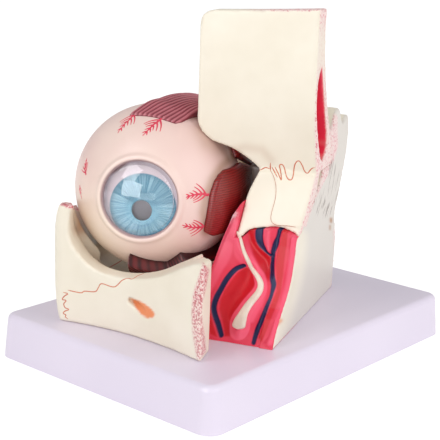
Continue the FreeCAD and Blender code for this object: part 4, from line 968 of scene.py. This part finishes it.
def sclera_front_profile():
    """Ball, raised lip of the recess and the short bore down to the inner wall."""
    lip_radius, lip_height, lip_round, bore = 25.2, 45.19, 2.2, 23.0
    lip_angle, swell, swell_width = 29.1, 1.14, 2.1
    profile = []
    for angle in np.linspace(seam_angle(BALL), 29.6, 120):
        reach = BALL + swell * math.exp(-((angle - lip_angle) / swell_width) ** 2)
        profile.append((reach * math.sin(math.radians(angle)), reach * math.cos(math.radians(angle))))
    for angle in np.radians(np.linspace(lip_angle, -90, 26)):
        profile.append((lip_radius + lip_round * math.sin(angle), lip_height + lip_round * math.cos(angle)))
    inner = math.degrees(math.asin(bore / SHELL))
    return profile + arc(SHELL, 0, inner, seam_angle(SHELL), 70)


MEDIAL_SHADE = [(205, 232), (203, 212), (206, 196), (212, 180), (222, 166), (236, 155)]
# the lip's shadow on the top of the iris plate, painted in mauve
IRIS_LIP_SHADOW = [(108, 176), (118, 160), (134, 152), (152, 153), (170, 164), (182, 180), (176, 176), (162, 166),
                 (146, 161), (130, 162), (118, 171)]
BROW_SHADE = [(246, 146), (232, 150), (220, 150), (208, 142), (202, 130)]


def paint_sclera(points):
    """Cream below and left, pink to the sides, tan painted shade beside the medial muscle and under the brow at the
    socket's edge, and mauve painted shade on the bore.
    """
    place = from_eye(points)
    pixels = seen_at(place)
    seen = facing(place, (points / np.linalg.norm(points, axis=1)[:, None]) @ OPTICAL)
    # tan painted shade, warmed as by light thrown back from the ivory bone
    tan = 0.6 * spray(pixels, MEDIAL_SHADE, 5.0) + 0.45 * spray(pixels, BROW_SHADE, 9.0)
    across = np.hypot(points[:, 0], points[:, 1])
    # the bore of the recess, painted mauve as its shade
    bore = ramp(points[:, 2], 42.5, 43.5) * ramp(-across, -25.0, -23.6)
    return {
        "cream": 0.8 * ramp(-points[:, 0], -10, 35) * ramp(-points[:, 1], -30, 30),
        "blush": 0.35 * ramp(points[:, 0], 8, 42) + 0.2 * ramp(across, 40, 52),
        "tan": np.clip(tan, 0, 1) * seen,
        "recess_shade": 0.8 * bore,
    }


def make_eyeball():
    shell_piece("sclera_front_shell", sclera_front_profile(), sclera, "eyeball_front", "sclera_front",
                "sclera_paint", paint_sclera)
    profile = arc(BALL, 0, 180 - seam_angle(BALL), 180, 90) + arc(SHELL, 0, 180, 180 - seam_angle(SHELL), 80)
    shell_piece("sclera_rear_shell", profile, sclera, "eyeball_rear", "sclera_rear", "sclera_paint", paint_sclera)
    # cornea: a thin dome on a short skirt inside the recess
    seat, bore, foot, inner_dome = 22.7, 21.5, 41.3, 32.3
    outer_angle, inner_angle = math.degrees(math.asin(seat / DOME)), math.degrees(math.asin(bore / inner_dome))
    profile = (arc(DOME, DOME_DEPTH, 0, outer_angle) + [(seat, foot), (bore, foot)]
               + arc(inner_dome, DOME_DEPTH, inner_angle, 0))
    shell_piece("cornea_dome", profile, cornea_clear, "eyeball_front", "cornea", "clear_acrylic",
                lambda points: {"seat": ramp(np.hypot(points[:, 0], points[:, 1]), 21.2, 21.6)})
    # lens, flatter in front than behind
    equator, front = 20.2, 43.0
    front_angle, rear_angle = math.degrees(math.asin(equator / front)), math.degrees(math.asin(equator / LENS_REAR))
    profile = arc(front, -3.7, 0, front_angle, 40) + arc(LENS_REAR, LENS_REAR_DEPTH, 180 - rear_angle, 180, 40)
    shell_piece("lens_body_clear", profile, lens_clear, "lens_body", "lens", "clear_acrylic", segments=160)
    # vitreous body, with the hollow that the lens sits in
    body, hollow, front = 47.4, LENS_REAR + 0.3, 32.8
    rim_angle = math.degrees(math.acos(front / body))
    hollow_angle = math.degrees(math.acos((LENS_REAR_DEPTH - front) / hollow))
    profile = arc(hollow, LENS_REAR_DEPTH, 180, 180 - hollow_angle, 40) + arc(body, 0, rim_angle, 180, 90)
    shell_piece("vitreous_body_clear", profile, vitreous_clear, "vitreous", "vitreous_body", "clear_acrylic",
                segments=160)


def make_iris():
    """The iris plate: low ridges run out from the pupil, which lies below the middle."""
    pupil, radius, top, bottom, plate = np.array([0.0, -8.0]), 6.3, 41.2, 39.6, 27.0
    blue, blue_radius = np.array([0.9, -5.9]), 20.6
    rings, spokes = 64, 288
    angles = np.linspace(0, 2 * math.pi, spokes, endpoint=False)
    ray = np.stack([np.cos(angles), np.sin(angles)], 1)
    rows = []
    for share in np.concatenate([[0.0, 0.006, 0.02], np.linspace(0.04, 1, rings)]):
        flat = (pupil + ray * radius) * (1 - share) + ray * plate * share
        away = np.linalg.norm(flat - blue, axis=1)
        ridges = 0.12 * np.sin(angles * 61) * ramp(share, 0.03, 0.12) * (1 - ramp(away, 16.5, 19.0))
        roll = -0.35 * (1 - ramp(share, 0, 0.03))
        collar = 0.22 * math.exp(-((share - 0.2) / 0.06) ** 2)
        height = top - 0.36 + ridges + roll + collar * (1 - ramp(away, 15, 19))
        rows.append(np.column_stack([flat, height]))
    rows.append(np.column_stack([ray * plate, np.full(spokes, bottom)]))
    rows.append(np.column_stack([pupil + ray * radius, np.full(spokes, bottom)]))
    points = np.vstack(rows)
    faces = grid_faces(len(rows), spokes, wrap=True)
    last = (len(rows) - 1) * spokes
    faces += [(last + k, last + (k + 1) % spokes, (k + 1) % spokes, k) for k in range(spokes)]
    rim = np.linalg.norm(points[:, :2] - blue, axis=1)
    place = from_eye(points)
    pixels = seen_at(place)
    # mauve painted shadow of the lip over the iris's upper edge
    lip_shadow = region(pixels, IRIS_LIP_SHADOW, 4.0)
    marks = {"iris_right": (points[:, 0] - blue[0]) / blue_radius, "iris_up": (points[:, 1] - blue[1]) / blue_radius,
             "recess_shade": 0.9 * lip_shadow * ramp(rim, 17.5, 20)}
    piece("iris_plate", place, faces, iris_blue, "eyeball_front", ("iris",), "iris_paint", marks)


make_eyeball()
make_iris()


# ---------------------------------------------------------------- choroid, retina and nerve
def group_tree(name, sizes):
    """An empty Geometry Nodes tree with a geometry input and named sizes; returns it with its input node."""
    tree = bpy.data.node_groups.new(name, "GeometryNodeTree")
    tree.interface.new_socket("Geometry", in_out="INPUT", socket_type="NodeSocketGeometry")
    tree.interface.new_socket("Geometry", in_out="OUTPUT", socket_type="NodeSocketGeometry")
    for label, kind in sizes.items():
        tree.interface.new_socket(label, in_out="INPUT", socket_type="NodeSocket" + kind)
    return tree, node(tree, "NodeGroupInput").outputs


def grown(tree, source, values):
    """The plain mesh that a tree makes of a curve or mesh."""
    holder = placed("grown", source)
    modifier = holder.modifiers.new("grow", "NODES")
    modifier.node_group = tree
    for socket in tree.interface.items_tree:
        if socket.in_out == "INPUT" and socket.name in values:
            modifier[socket.identifier] = values[socket.name]
    mesh = bpy.data.meshes.new_from_object(holder.evaluated_get(bpy.context.evaluated_depsgraph_get()))
    bpy.data.objects.remove(holder)
    return mesh


def pleat_tree():
    """Ciliary pleats: low rounded ridges set round the ring that holds the lens."""
    tree, sizes = group_tree("ciliary pleats", {"Count": "Int", "Ring": "Float", "Length": "Float", "Width": "Float",
                                                "Depth": "Float", "Material": "Material"})
    spots = node(tree, "GeometryNodeMeshCircle", {"Vertices": sizes["Count"], "Radius": sizes["Ring"]})
    place = node(tree, "GeometryNodeInputPosition").outputs[0]
    turn = node(tree, "FunctionNodeAlignRotationToVector", {"Vector": place}, axis="X", pivot_axis="Z")
    ridge = node(tree, "GeometryNodeMeshIcoSphere", {"Radius": 1.0, "Subdivisions": 2})
    scale = node(tree, "ShaderNodeCombineXYZ", {0: sizes["Length"], 1: sizes["Width"], 2: sizes["Depth"]})
    pleats = node(tree, "GeometryNodeInstanceOnPoints", {
        "Points": spots, "Instance": ridge, "Rotation": turn, "Scale": scale})
    solid = node(tree, "GeometryNodeRealizeInstances", {"Geometry": pleats})
    painted = node(tree, "GeometryNodeSetMaterial", {"Geometry": solid, "Material": sizes["Material"]})
    node(tree, "NodeGroupOutput", {0: painted})
    return tree


def vessel_tree():
    """A vessel drawn on a ball: a wandering trunk with pairs of slanted barbs that shrink to its tip."""
    tree, sizes = group_tree("branching vessel", {
        "Ball": "Float", "Barbs": "Int", "Barb length": "Float", "Slant": "Float", "Stroke": "Float",
        "Wander": "Float", "Material": "Material"})
    place = node(tree, "GeometryNodeInputPosition").outputs[0]
    noise = node(tree, "ShaderNodeTexNoise", {"Vector": place, "Scale": 260.0, "Detail": 2.0, "W": 3.0},
                 noise_dimensions="4D")
    shift = node(tree, "ShaderNodeVectorMath", {0: noise.outputs["Color"], 1: (0.5, 0.5, 0.5)}, operation="SUBTRACT")
    shift = node(tree, "ShaderNodeVectorMath", {0: shift, "Scale": sizes["Wander"]}, operation="SCALE")
    trunk = node(tree, "GeometryNodeResampleCurve", {"Curve": sizes["Geometry"], "Count": 40})
    trunk = node(tree, "GeometryNodeSetPosition", {"Geometry": trunk, "Offset": shift})
    along = node(tree, "GeometryNodeSplineParameter").outputs["Factor"]
    middle_part = node(tree, "GeometryNodeTrimCurve", {0: trunk, 2: 0.14, 3: 0.8})
    roots = node(tree, "GeometryNodeResampleCurve", {"Curve": middle_part, "Count": sizes["Barbs"]})
    up = node(tree, "FunctionNodeAlignRotationToVector", {"Vector": place}, axis="Z")
    tangent = node(tree, "GeometryNodeInputTangent").outputs[0]
    turn = node(tree, "FunctionNodeAlignRotationToVector", {"Rotation": up, "Vector": tangent},
                axis="X", pivot_axis="Z")
    sides = []
    for sign in (1.0, -1.0):
        rise = node(tree, "ShaderNodeMath", {0: sizes["Slant"], 1: sign}, operation="MULTIPLY")
        end = node(tree, "ShaderNodeCombineXYZ", {0: 0.8, 1: rise})
        middle = node(tree, "ShaderNodeVectorMath", {0: end, 1: (0.32, 0.62, 1.0)}, operation="MULTIPLY")
        sides.append(node(tree, "GeometryNodeCurveQuadraticBezier", {
            "Resolution": 6, "Start": (0.0, 0.0, 0.0), "Middle": middle, "End": end}))
    pair = node(tree, "GeometryNodeJoinGeometry")
    for side in sides:
        tree.links.new(side.outputs[0], pair.inputs[0])
    shrink = node(tree, "ShaderNodeMapRange", {0: along, 3: 1.0, 4: 0.25})
    uneven = node(tree, "FunctionNodeRandomValue", {2: 0.7, 3: 1.15, "Seed": 7}, data_type="FLOAT")
    scale = node(tree, "ShaderNodeMath", {0: shrink, 1: uneven.outputs[1]}, operation="MULTIPLY")
    scale = node(tree, "ShaderNodeMath", {0: scale, 1: sizes["Barb length"]}, operation="MULTIPLY")
    barbs = node(tree, "GeometryNodeInstanceOnPoints", {
        "Points": roots, "Instance": pair, "Rotation": turn, "Scale": scale})
    barbs = node(tree, "GeometryNodeRealizeInstances", {"Geometry": barbs})
    taper = node(tree, "ShaderNodeMapRange", {0: along, 3: 1.0, 4: 0.3})
    thick = node(tree, "ShaderNodeMath", {0: taper, 1: sizes["Stroke"]}, operation="MULTIPLY")
    thin = node(tree, "ShaderNodeMath", {0: thick, 1: 0.8}, operation="MULTIPLY")
    trunk = node(tree, "GeometryNodeSetCurveRadius", {"Curve": trunk, "Radius": thick})
    barbs = node(tree, "GeometryNodeSetCurveRadius", {"Curve": barbs, "Radius": thin})
    lines = node(tree, "GeometryNodeJoinGeometry")
    tree.links.new(trunk.outputs[0], lines.inputs[0])
    tree.links.new(barbs.outputs[0], lines.inputs[0])
    out = node(tree, "ShaderNodeVectorMath", {0: place}, operation="NORMALIZE")
    on_ball = node(tree, "ShaderNodeVectorMath", {0: out, "Scale": sizes["Ball"]}, operation="SCALE")
    lines = node(tree, "GeometryNodeSetPosition", {"Geometry": lines, "Position": on_ball})
    section = node(tree, "GeometryNodeCurvePrimitiveCircle", {"Resolution": 6, "Radius": 1.0})
    radius = node(tree, "GeometryNodeInputRadius").outputs[0]
    tube = node(tree, "GeometryNodeCurveToMesh", {"Curve": lines, "Profile Curve": section,
                                                  "Scale": radius, "Fill Caps": True})
    # a brush stroke is flat: its height above the ball is a third of a round cord's
    height = node(tree, "ShaderNodeVectorMath", {0: place}, operation="LENGTH").outputs["Value"]
    flat = node(tree, "ShaderNodeMix", {0: 0.33, 2: sizes["Ball"], 3: height}, data_type="FLOAT")
    pressed = node(tree, "ShaderNodeVectorMath", {0: out, "Scale": flat}, operation="SCALE")
    tube = node(tree, "GeometryNodeSetPosition", {"Geometry": tube, "Position": pressed})
    solid = node(tree, "GeometryNodeRealizeInstances", {"Geometry": tube})
    painted = node(tree, "GeometryNodeSetMaterial", {"Geometry": solid, "Material": sizes["Material"]})
    node(tree, "NodeGroupOutput", {0: painted})
    return tree


def drawn_vessels(name, tree, paths, ball, body):
    """Vessels on a ball; each path has its points in the optical frame, barbs, barb length and stroke."""
    shape = bmesh.new()
    for path, barbs, barb_length, stroke in paths:
        line = bpy.data.curves.new(name, "CURVE")
        line.dimensions = "3D"
        spline = line.splines.new("POLY")
        places = through(path, 12)
        spline.points.add(len(places) - 1)
        for point, spot in zip(spline.points, places):
            point.co = (*(unit(spot) * ball * MM), 1.0)
        shape.from_mesh(grown(tree, line, {
            "Ball": ball * MM, "Barbs": barbs, "Barb length": barb_length * MM, "Slant": 0.6,
            "Stroke": stroke * MM, "Wander": 1.6 * MM, "Material": vessel_paint}))
    bmesh.ops.transform(shape, matrix=Matrix.Translation(Vector(EYE * MM)) @ EYE_PLACE.to_4x4(), verts=shape.verts)
    mesh = bpy.data.meshes.new(name)
    shape.to_mesh(mesh)
    shape.free()
    settle(mesh, name, vessel_paint, body)


EYE_VESSELS = [
    # points of the trunk, barbs, barb length and stroke
    ([(-10.4, 48.4, 19.3), (-14.6, 43.2, 26.8), (-18.3, 37.2, 33.1)], 5, 9.5, 0.85),
    ([(7.3, 47.0, 23.6), (2.6, 42.5, 31.2), (-1.3, 37.2, 37.8)], 5, 10.0, 0.9),
    ([(40.1, 3.6, 34.6), (34.0, 4.6, 40.2), (27.1, 2.8, 45.6)], 5, 9.5, 0.9),
    ([(39.1, -16.4, 31.9), (33.0, -16.6, 38.2), (26.1, -14.3, 44.0)], 5, 9.5, 0.9),
    ([(-37.1, 10.3, 36.6), (-38.9, 14.8, 33.3), (-38.5, 19.9, 30.7)], 4, 6.5, 0.7),
    ([(-42.0, 2.4, 31.6), (-41.0, -1.9, 33.0), (-40.0, -5.4, 34.0)], 3, 3.6, 0.45),
    ([(-8.0, -41.5, 31.7), (-3.0, -41.2, 33.0), (2.0, -40.2, 34.2)], 3, 5.0, 0.6),
]


def retina_vessels(disc, start, length=62, radius=40):
    """Four arcades that leave the optic disc and bend round the macula, in the optical frame."""
    side = unit(np.cross(disc, (0, 1, 0)))
    up = np.cross(side, disc)
    paths = []
    for turn, bend in ((62, -24), (118, 22), (-62, 24), (-118, -22)):
        line = []
        for share in np.linspace(0, 1, 6):
            reach = math.radians(start + length * share)
            angle = math.radians(turn + bend * share)
            way = side * math.cos(angle) + up * math.sin(angle)
            line.append((disc * math.cos(reach) + way * math.sin(reach)) * radius)
        paths.append((line, 9, 9.0, 0.5))
    return paths


def make_inner_coats():
    """Choroid with its ciliary ring, and the retina cup with disc, macula and vessels."""
    outer, inner, top, bottom, bore = 49.3, 47.7, 39.5, 33.1, 20.5
    profile = (arc(outer, 0, seam_angle(outer), math.degrees(math.acos(top / outer)))
               + [(bore + 0.5, top), (bore, top - 0.5), (bore, bottom + 0.5), (bore + 0.5, bottom)]
               + arc(inner, 0, math.degrees(math.acos(bottom / inner)), seam_angle(inner)))
    shell_piece("choroid_front_shell", profile, choroid_brown, "eyeball_front", "choroid_front", "choroid_paint")
    ring = bpy.data.meshes.new("ring")
    pleats = grown(pleat_tree(), ring, {"Count": 72, "Ring": 27.2 * MM, "Length": 6.0 * MM, "Width": 0.7 * MM,
                                        "Depth": 0.9 * MM, "Material": choroid_brown})
    pleats.transform(Matrix.Translation(Vector((EYE + GAZE * bottom) * MM)) @ EYE_PLACE.to_4x4())
    settle(pleats, "ciliary_pleats", choroid_brown, "eyeball_front")

    def paint_retina(points):
        reach = np.linalg.norm(points, axis=1)
        away = np.degrees(np.arccos(np.clip(points @ APEX / reach, -1, 1)))
        pole = np.degrees(np.arccos(np.clip(-points[:, 2] / reach, -1, 1)))
        within = reach < inner + 0.5
        return {"disc": (1 - ramp(away, 5.0, 6.5)) * within, "macula": (1 - ramp(pole, 1.5, 8.0)) * 0.8 * within}

    profile = arc(outer, 0, 180 - seam_angle(outer), 180, 90) + arc(inner, 0, 180, 180 - seam_angle(inner), 80)
    shell_piece("retina_cup_shell", profile, retina_coat, "retina", "retina_cup", "retina_paint", paint_retina)
    tree = vessel_tree()
    drawn_vessels("retina_vessels", tree, retina_vessels(APEX, 4.0), inner - 0.05, "retina")
    drawn_vessels("sclera_vessels", tree, EYE_VESSELS, BALL + 0.04, "eyeball_front")


def make_nerve():
    """The optic nerve, whose sheath has soft folds along its way, and the cuff where the muscles meet."""
    reach = np.linspace(BALL - 0.1, 90.2, 70)
    radius = 6.5 - 0.12 * (1 - np.cos((reach - BALL) * 1.9)) * ramp(reach, 54, 57)
    profile = [(0, BALL - 1.5)] + list(zip(radius, reach)) + [(5.9, 90.3), (0, 90.3)]
    shell_piece("optic_nerve_sheath", profile, nerve_cream, "eyeball_rear", "optic_nerve", "nerve_paint",
                segments=72, axis=APEX)
    low, high, wide, narrow, soft = 78.3, 86.3, 15.0, 6.65, 1.8
    quarter = np.radians(range(0, 91, 15))
    profile = ([(wide - soft + soft * math.sin(a), low + soft - soft * math.cos(a)) for a in quarter]
               + [(wide - soft + soft * math.cos(a), high - soft + soft * math.sin(a)) for a in quarter]
               + [(narrow + 0.4, high), (narrow, high - 0.4), (narrow, low + 0.4), (narrow + 0.4, low)])
    shell_piece("tendinous_ring_cuff", profile, tendon_grey, "eyeball_rear", "tendinous_ring", "muscle_paint",
                segments=120, axis=APEX)


make_inner_coats()
make_nerve()


# ---------------------------------------------------------------- muscles
RING_FACE, RING_OFFSET = 78.19, 10.75
MUSCLE_FLOOR = 52.9
# how much thicker a muscle grows behind and how far its medial side draws in, and from where
BELLY = {"superior_rectus": (9.0, 6.5)}
BELLY_START, WAIST_START, WAIST_RUN = math.radians(92), math.radians(104), math.radians(28)
# the length over which a front end thins, and the muscles whose front end shows bare paint
THIN_FRONT = {"superior_rectus": 20.0, "lateral_rectus": 24.0}
BARE_FRONT = {"inferior_rectus": 1.0}
MUSCLES = {
    # name: insertion, width, wall, tail width and wall, rib pitch, paint, outline of the front end as
    # (across in mm, degrees from the apex)
    "superior_rectus": ((-5.7, 41.9, 31.6), 31.0, 4.0, 8.0, 4.5, 2.8, superior_red,
                        [(-15.5, 117), (-13.9, 118.4), (-8, 115), (0.8, 109.5), (8, 105.6), (13.6, 101.8),
                         (15.5, 96)]),
    "medial_rectus": ((40.8, -3.6, 38.4), 41.0, 4.0, 8.0, 4.5, 1.4, medial_red,
                      [(-20.5, 80), (-18.5, 86), (-15, 91), (-9, 95), (-4.4, 96.3), (3.1, 97.3), (12, 97.6),
                       (17, 97), (19.6, 92), (20.5, 84)]),
    "inferior_rectus": ((-5.0, -38.0, 39.0), 42.0, 8.0, 8.0, 4.5, 2.2, underside_shade_red,
                        [(-21, 108), (-8.4, 109.6), (-3, 122), (1.7, 133.5), (4, 132), (12, 124), (20, 116),
                         (21, 113)]),
    "lateral_rectus": ((-55.0, -1.0, 5.0), 26.0, 4.0, 8.0, 4.5, 1.8, superior_red,
                       [(-13, 121), (-11, 126), (-6, 129), (0, 129.7), (6, 129), (11, 126), (13, 121)]),
    "superior_oblique": ((46.0, 27.0, -1.5), 12.0, 4.0, 5.0, 3.5, 1.5, medial_red,
                         [(-6, 57.6), (0, 58.0), (6, 57.6)]),
}


def under_brow(points, rows, lanes):
    """Lowers the outer face of a muscle where it would enter the brow above it."""
    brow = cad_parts["frontal_bone"].data
    bone = surface_of(np.array([corner.co[:] for corner in brow.vertices]) / MM,
                      [tuple(side.vertices) for side in brow.polygons])
    grid = points.reshape(rows, 2 * lanes, 3).copy()
    arms = grid[:, :lanes] - EYE
    reach = np.linalg.norm(arms, axis=2)
    drop = np.zeros(reach.shape)
    for row, lane in np.ndindex(drop.shape):
        away = bone.ray_cast(Vector(EYE), Vector(arms[row, lane] / reach[row, lane]))[3]
        if away is not None:
            drop[row, lane] = max(0.0, reach[row, lane] - away + 0.6)
    for _ in range(8):
        wide = np.pad(drop, 1, mode="edge")
        beside = [wide[:-2, 1:-1], wide[2:, 1:-1], wide[1:-1, :-2], wide[1:-1, 2:]]
        drop = np.maximum(drop, 0.7 * np.max(beside, axis=0))
    grid[:, :lanes] -= arms / reach[..., None] * drop[..., None]
    return grid.reshape(-1, 3)


def muscle_mesh(name, insertion, width, wall, tail_width, tail_wall, pitch, outline):
    """A ribbed band that hugs the ball, leaves it on its tangent and narrows to the tendinous ring."""
    belly, waist = BELLY.get(name, (0.0, 0.0))
    thin_front, bare = THIN_FRONT.get(name, 0.0), BARE_FRONT.get(name, 0.0)
    side = unit(np.asarray(insertion, float))
    side = unit(side - APEX * (side @ APEX))
    across = np.cross(APEX, side)
    middle = MUSCLE_FLOOR + wall / 2
    leave = math.acos(middle / math.hypot(RING_FACE, RING_OFFSET)) + math.atan2(RING_OFFSET, RING_FACE)
    tail_start = APEX * (middle * math.cos(leave)) + side * (middle * math.sin(leave))
    tail_end = APEX * RING_FACE + side * RING_OFFSET
    half_rounds, lanes = 12, 120
    # lanes over the outer face, then back along the inner face
    share = np.linspace(-1, 1, lanes)
    rows_on_ball, rows_on_tail = 70, 40
    edge = np.interp(share * width / 2, [p[0] for p in outline], [p[1] for p in outline])
    rounded = (1 - np.abs(share) ** half_rounds) ** (1 / 2.5)
    ribs = 0.5 + 0.5 * np.cos(share * width * math.pi / pitch)
    points, fibre, tip = [], [], []
    for row in range(rows_on_ball + rows_on_tail):
        if row < rows_on_ball:
            t = row / (rows_on_ball - 1)
            angles = np.radians(edge) * (1 - t) + leave * t
            start = np.degrees(np.radians(edge) - angles) * math.radians(1) * middle
            out = APEX * np.cos(angles)[:, None] + side * np.sin(angles)[:, None]
            swell = np.clip((BELLY_START - angles) / (BELLY_START - leave), 0, 1)
            draw = np.clip((WAIST_START - angles) / WAIST_RUN, 0, 1)
            offset = share * width / 2 - np.maximum(share, 0) * waist * draw
            centre = out * np.sqrt(middle ** 2 - offset ** 2)[:, None] + across * offset[:, None]
            normal = centre / middle
            thick = np.full(lanes, wall) * (0.3 + 0.7 * np.sqrt(np.clip(start / 2.2, 0, 1))) + belly * swell
            thick = thick - (0.62 * wall * (1 - ramp(start, 0.1 * thin_front, thin_front)) if thin_front else 0.0)
        else:
            t = (row - rows_on_ball + 1) / rows_on_tail
            spot = tail_start + (tail_end - tail_start) * t
            offset = share * (width + (tail_width - width) * t) / 2 - np.maximum(share, 0) * waist * (1 - t)
            out = APEX * math.cos(leave) + side * math.sin(leave)
            lean = unit(out * (1 - t) + side * t)
            sag = middle - np.sqrt(middle ** 2 - offset ** 2)
            centre = spot + across * offset[:, None] - lean * sag[:, None]
            slant = (offset / middle)[:, None]
            normal = np.tile(lean, (lanes, 1)) * np.sqrt(1 - slant ** 2) + across * slant
            thick = np.full(lanes, wall + belly * (1 - t) + (tail_wall - wall) * t)
            start = np.full(lanes, 50.0)
        low = -np.full(lanes, wall / 2 if row < rows_on_ball else wall / 2 * (1 - t) + tail_wall / 2 * t)
        deep = 0.28 * pitch - 0.2
        high = low + thick * (0.25 + 0.75 * rounded) - deep * (1 - ribs) * rounded
        top = centre + normal * high[:, None]
        bottom = centre + normal * low[:, None]
        points += [top, bottom[::-1]]
        fibre += [ribs, ribs[::-1] * 0]
        tip += [1 - ramp(start, 0.3, 1.4), (1 - ramp(start, 0.3, 1.4))[::-1]]
    count = rows_on_ball + rows_on_tail
    ring = 2 * lanes
    faces = grid_faces(count, ring, wrap=True)
    for base in (0, (count - 1) * ring):
        faces += [(base + k, base + k + 1, base + ring - 2 - k, base + ring - 1 - k) for k in range(lanes - 1)]
    flank = np.concatenate([ramp(share, 0.72, 0.86), ramp(share, 0.72, 0.86)[::-1]])
    marks = {"fibre": np.concatenate(fibre), "edge": bare * np.concatenate(tip) * np.tile(flank, count)}
    points = from_eye(np.vstack(points))
    return raw_mesh(under_brow(points, count, lanes) if belly else points, faces, marks)


def make_muscles():
    for name, (insertion, width, wall, tail_width, tail_wall, pitch, paint, outline) in MUSCLES.items():
        whole = muscle_mesh(name, insertion, width, wall, tail_width, tail_wall, pitch, outline)
        parts = [("_front", sliced(whole, EYE + GAZE * HALF_GAP, GAZE), "eyeball_front"),
                 ("_rear", sliced(whole, EYE - GAZE * HALF_GAP, -GAZE), "eyeball_rear")]
        if name == "superior_oblique":
            parts = [("", whole, "eyeball_rear")]
        for end, mesh, body in parts:
            settle(mesh, name + end + "_ribbed", paint, body, (name + end,))


make_muscles()


# ---------------------------------------------------------------- base, screws and pins
for node_name, paint in (("base_plate", abs_white), ("base_screws", steel), ("locating_pins", pin_metal)):
    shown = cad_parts[node_name]
    shown.data.materials.clear()
    shown.data.materials.append(paint)


# ---------------------------------------------------------------- stage and light
WINDOW_SPOT = (131, 189)


def make_floor():
    """A plain white floor that keeps a soft shadow."""
    material, tree = new_material("matt_white_floor")
    path = node(tree, "ShaderNodeLightPath")
    shown = node(tree, "ShaderNodeMath", {0: path.outputs["Is Camera Ray"], 1: path.outputs["Is Glossy Ray"]},
                 operation="MAXIMUM")
    shown = node(tree, "ShaderNodeMath", {0: shown, 1: path.outputs["Is Transmission Ray"]},
                 operation="MAXIMUM")
    matt = node(tree, "ShaderNodeBsdfDiffuse", {"Color": linear("#F4F4F4")})
    faint = node(tree, "ShaderNodeBsdfDiffuse", {"Color": linear("#9A9A9A")})
    glow = node(tree, "ShaderNodeEmission", {"Color": (1, 1, 1, 1), "Strength": 0.9})
    white = node(tree, "ShaderNodeAddShader", {0: faint, 1: glow})
    shader = node(tree, "ShaderNodeMixShader", {0: shown, 1: matt, 2: white})
    node(tree, "ShaderNodeOutputMaterial", {0: shader})
    mesh = bpy.data.meshes.new("floor")
    reach, level = 7.0, -0.0004
    mesh.from_pydata([(-reach, -reach, level), (reach, -reach, level), (reach, reach, level), (-reach, reach, level)],
                     [], [(0, 1, 2, 3)])
    mesh.materials.append(material)
    placed("floor", mesh)


def make_world():
    world = bpy.data.worlds.new("studio")
    world.use_nodes = True
    tree = world.node_tree
    tree.nodes.clear()
    path = node(tree, "ShaderNodeLightPath")
    shown = node(tree, "ShaderNodeMath", {0: path.outputs["Is Camera Ray"], 1: path.outputs["Is Transmission Ray"]},
                 operation="MAXIMUM")
    strength = node(tree, "ShaderNodeMapRange", {0: shown, 3: 0.5, 4: 1.0})
    sky = node(tree, "ShaderNodeBackground", {"Color": (1, 1, 1, 1), "Strength": strength})
    node(tree, "ShaderNodeOutputWorld", {0: sky})
    bpy.context.scene.world = world


def add_lamp(name, place, target, power, width, height, diffuse=True):
    data = bpy.data.lights.new(name, "AREA")
    data.shape, data.size, data.size_y, data.energy = "RECTANGLE", width, height, power
    lamp = placed(name, data)
    back = Vector(unit(np.asarray(place) - np.asarray(target)))
    lamp.matrix_world = Matrix.Translation(Vector(place)) @ back.to_track_quat("Z", "Y").to_matrix().to_4x4()
    lamp.visible_diffuse = diffuse
    return lamp


def make_lights():
    """A large key from the upper left, a fill from the right, a low fill from the front, and the window that the dome
    mirrors.
    """
    middle = (EYE + np.array([20, 0, 0])) * MM
    add_lamp("key", middle + 1.25 * unit(-0.55 * RIGHT + 0.62 * ABOVE + 0.62 * BACK), middle, 4.3, 0.7, 0.7)
    add_lamp("fill", middle + 1.4 * unit(0.95 * RIGHT + 0.38 * ABOVE + 0.45 * BACK), middle, 7.6, 1.2, 1.2)
    low = middle + 1.15 * unit(-0.08 * RIGHT - 0.2 * ABOVE + 1.0 * BACK)
    add_lamp("low fill", low, middle, 2.6, 0.8, 0.3).visible_glossy = False
    centre = EYE + GAZE * DOME_DEPTH
    look = sight(WINDOW_SPOT)
    to_centre = centre - CAMERA
    near = look @ to_centre
    hit = CAMERA + look * (near - math.sqrt(DOME ** 2 - (to_centre @ to_centre - near ** 2)))
    normal = unit(hit - centre)
    mirror = unit(look - 2 * (look @ normal) * normal)
    add_lamp("window", (hit + mirror * 900) * MM, hit * MM, 4.6, 0.72, 0.5, diffuse=False)


make_floor()
make_world()
make_lights()
bpy.context.scene.view_settings.view_transform = "Standard"
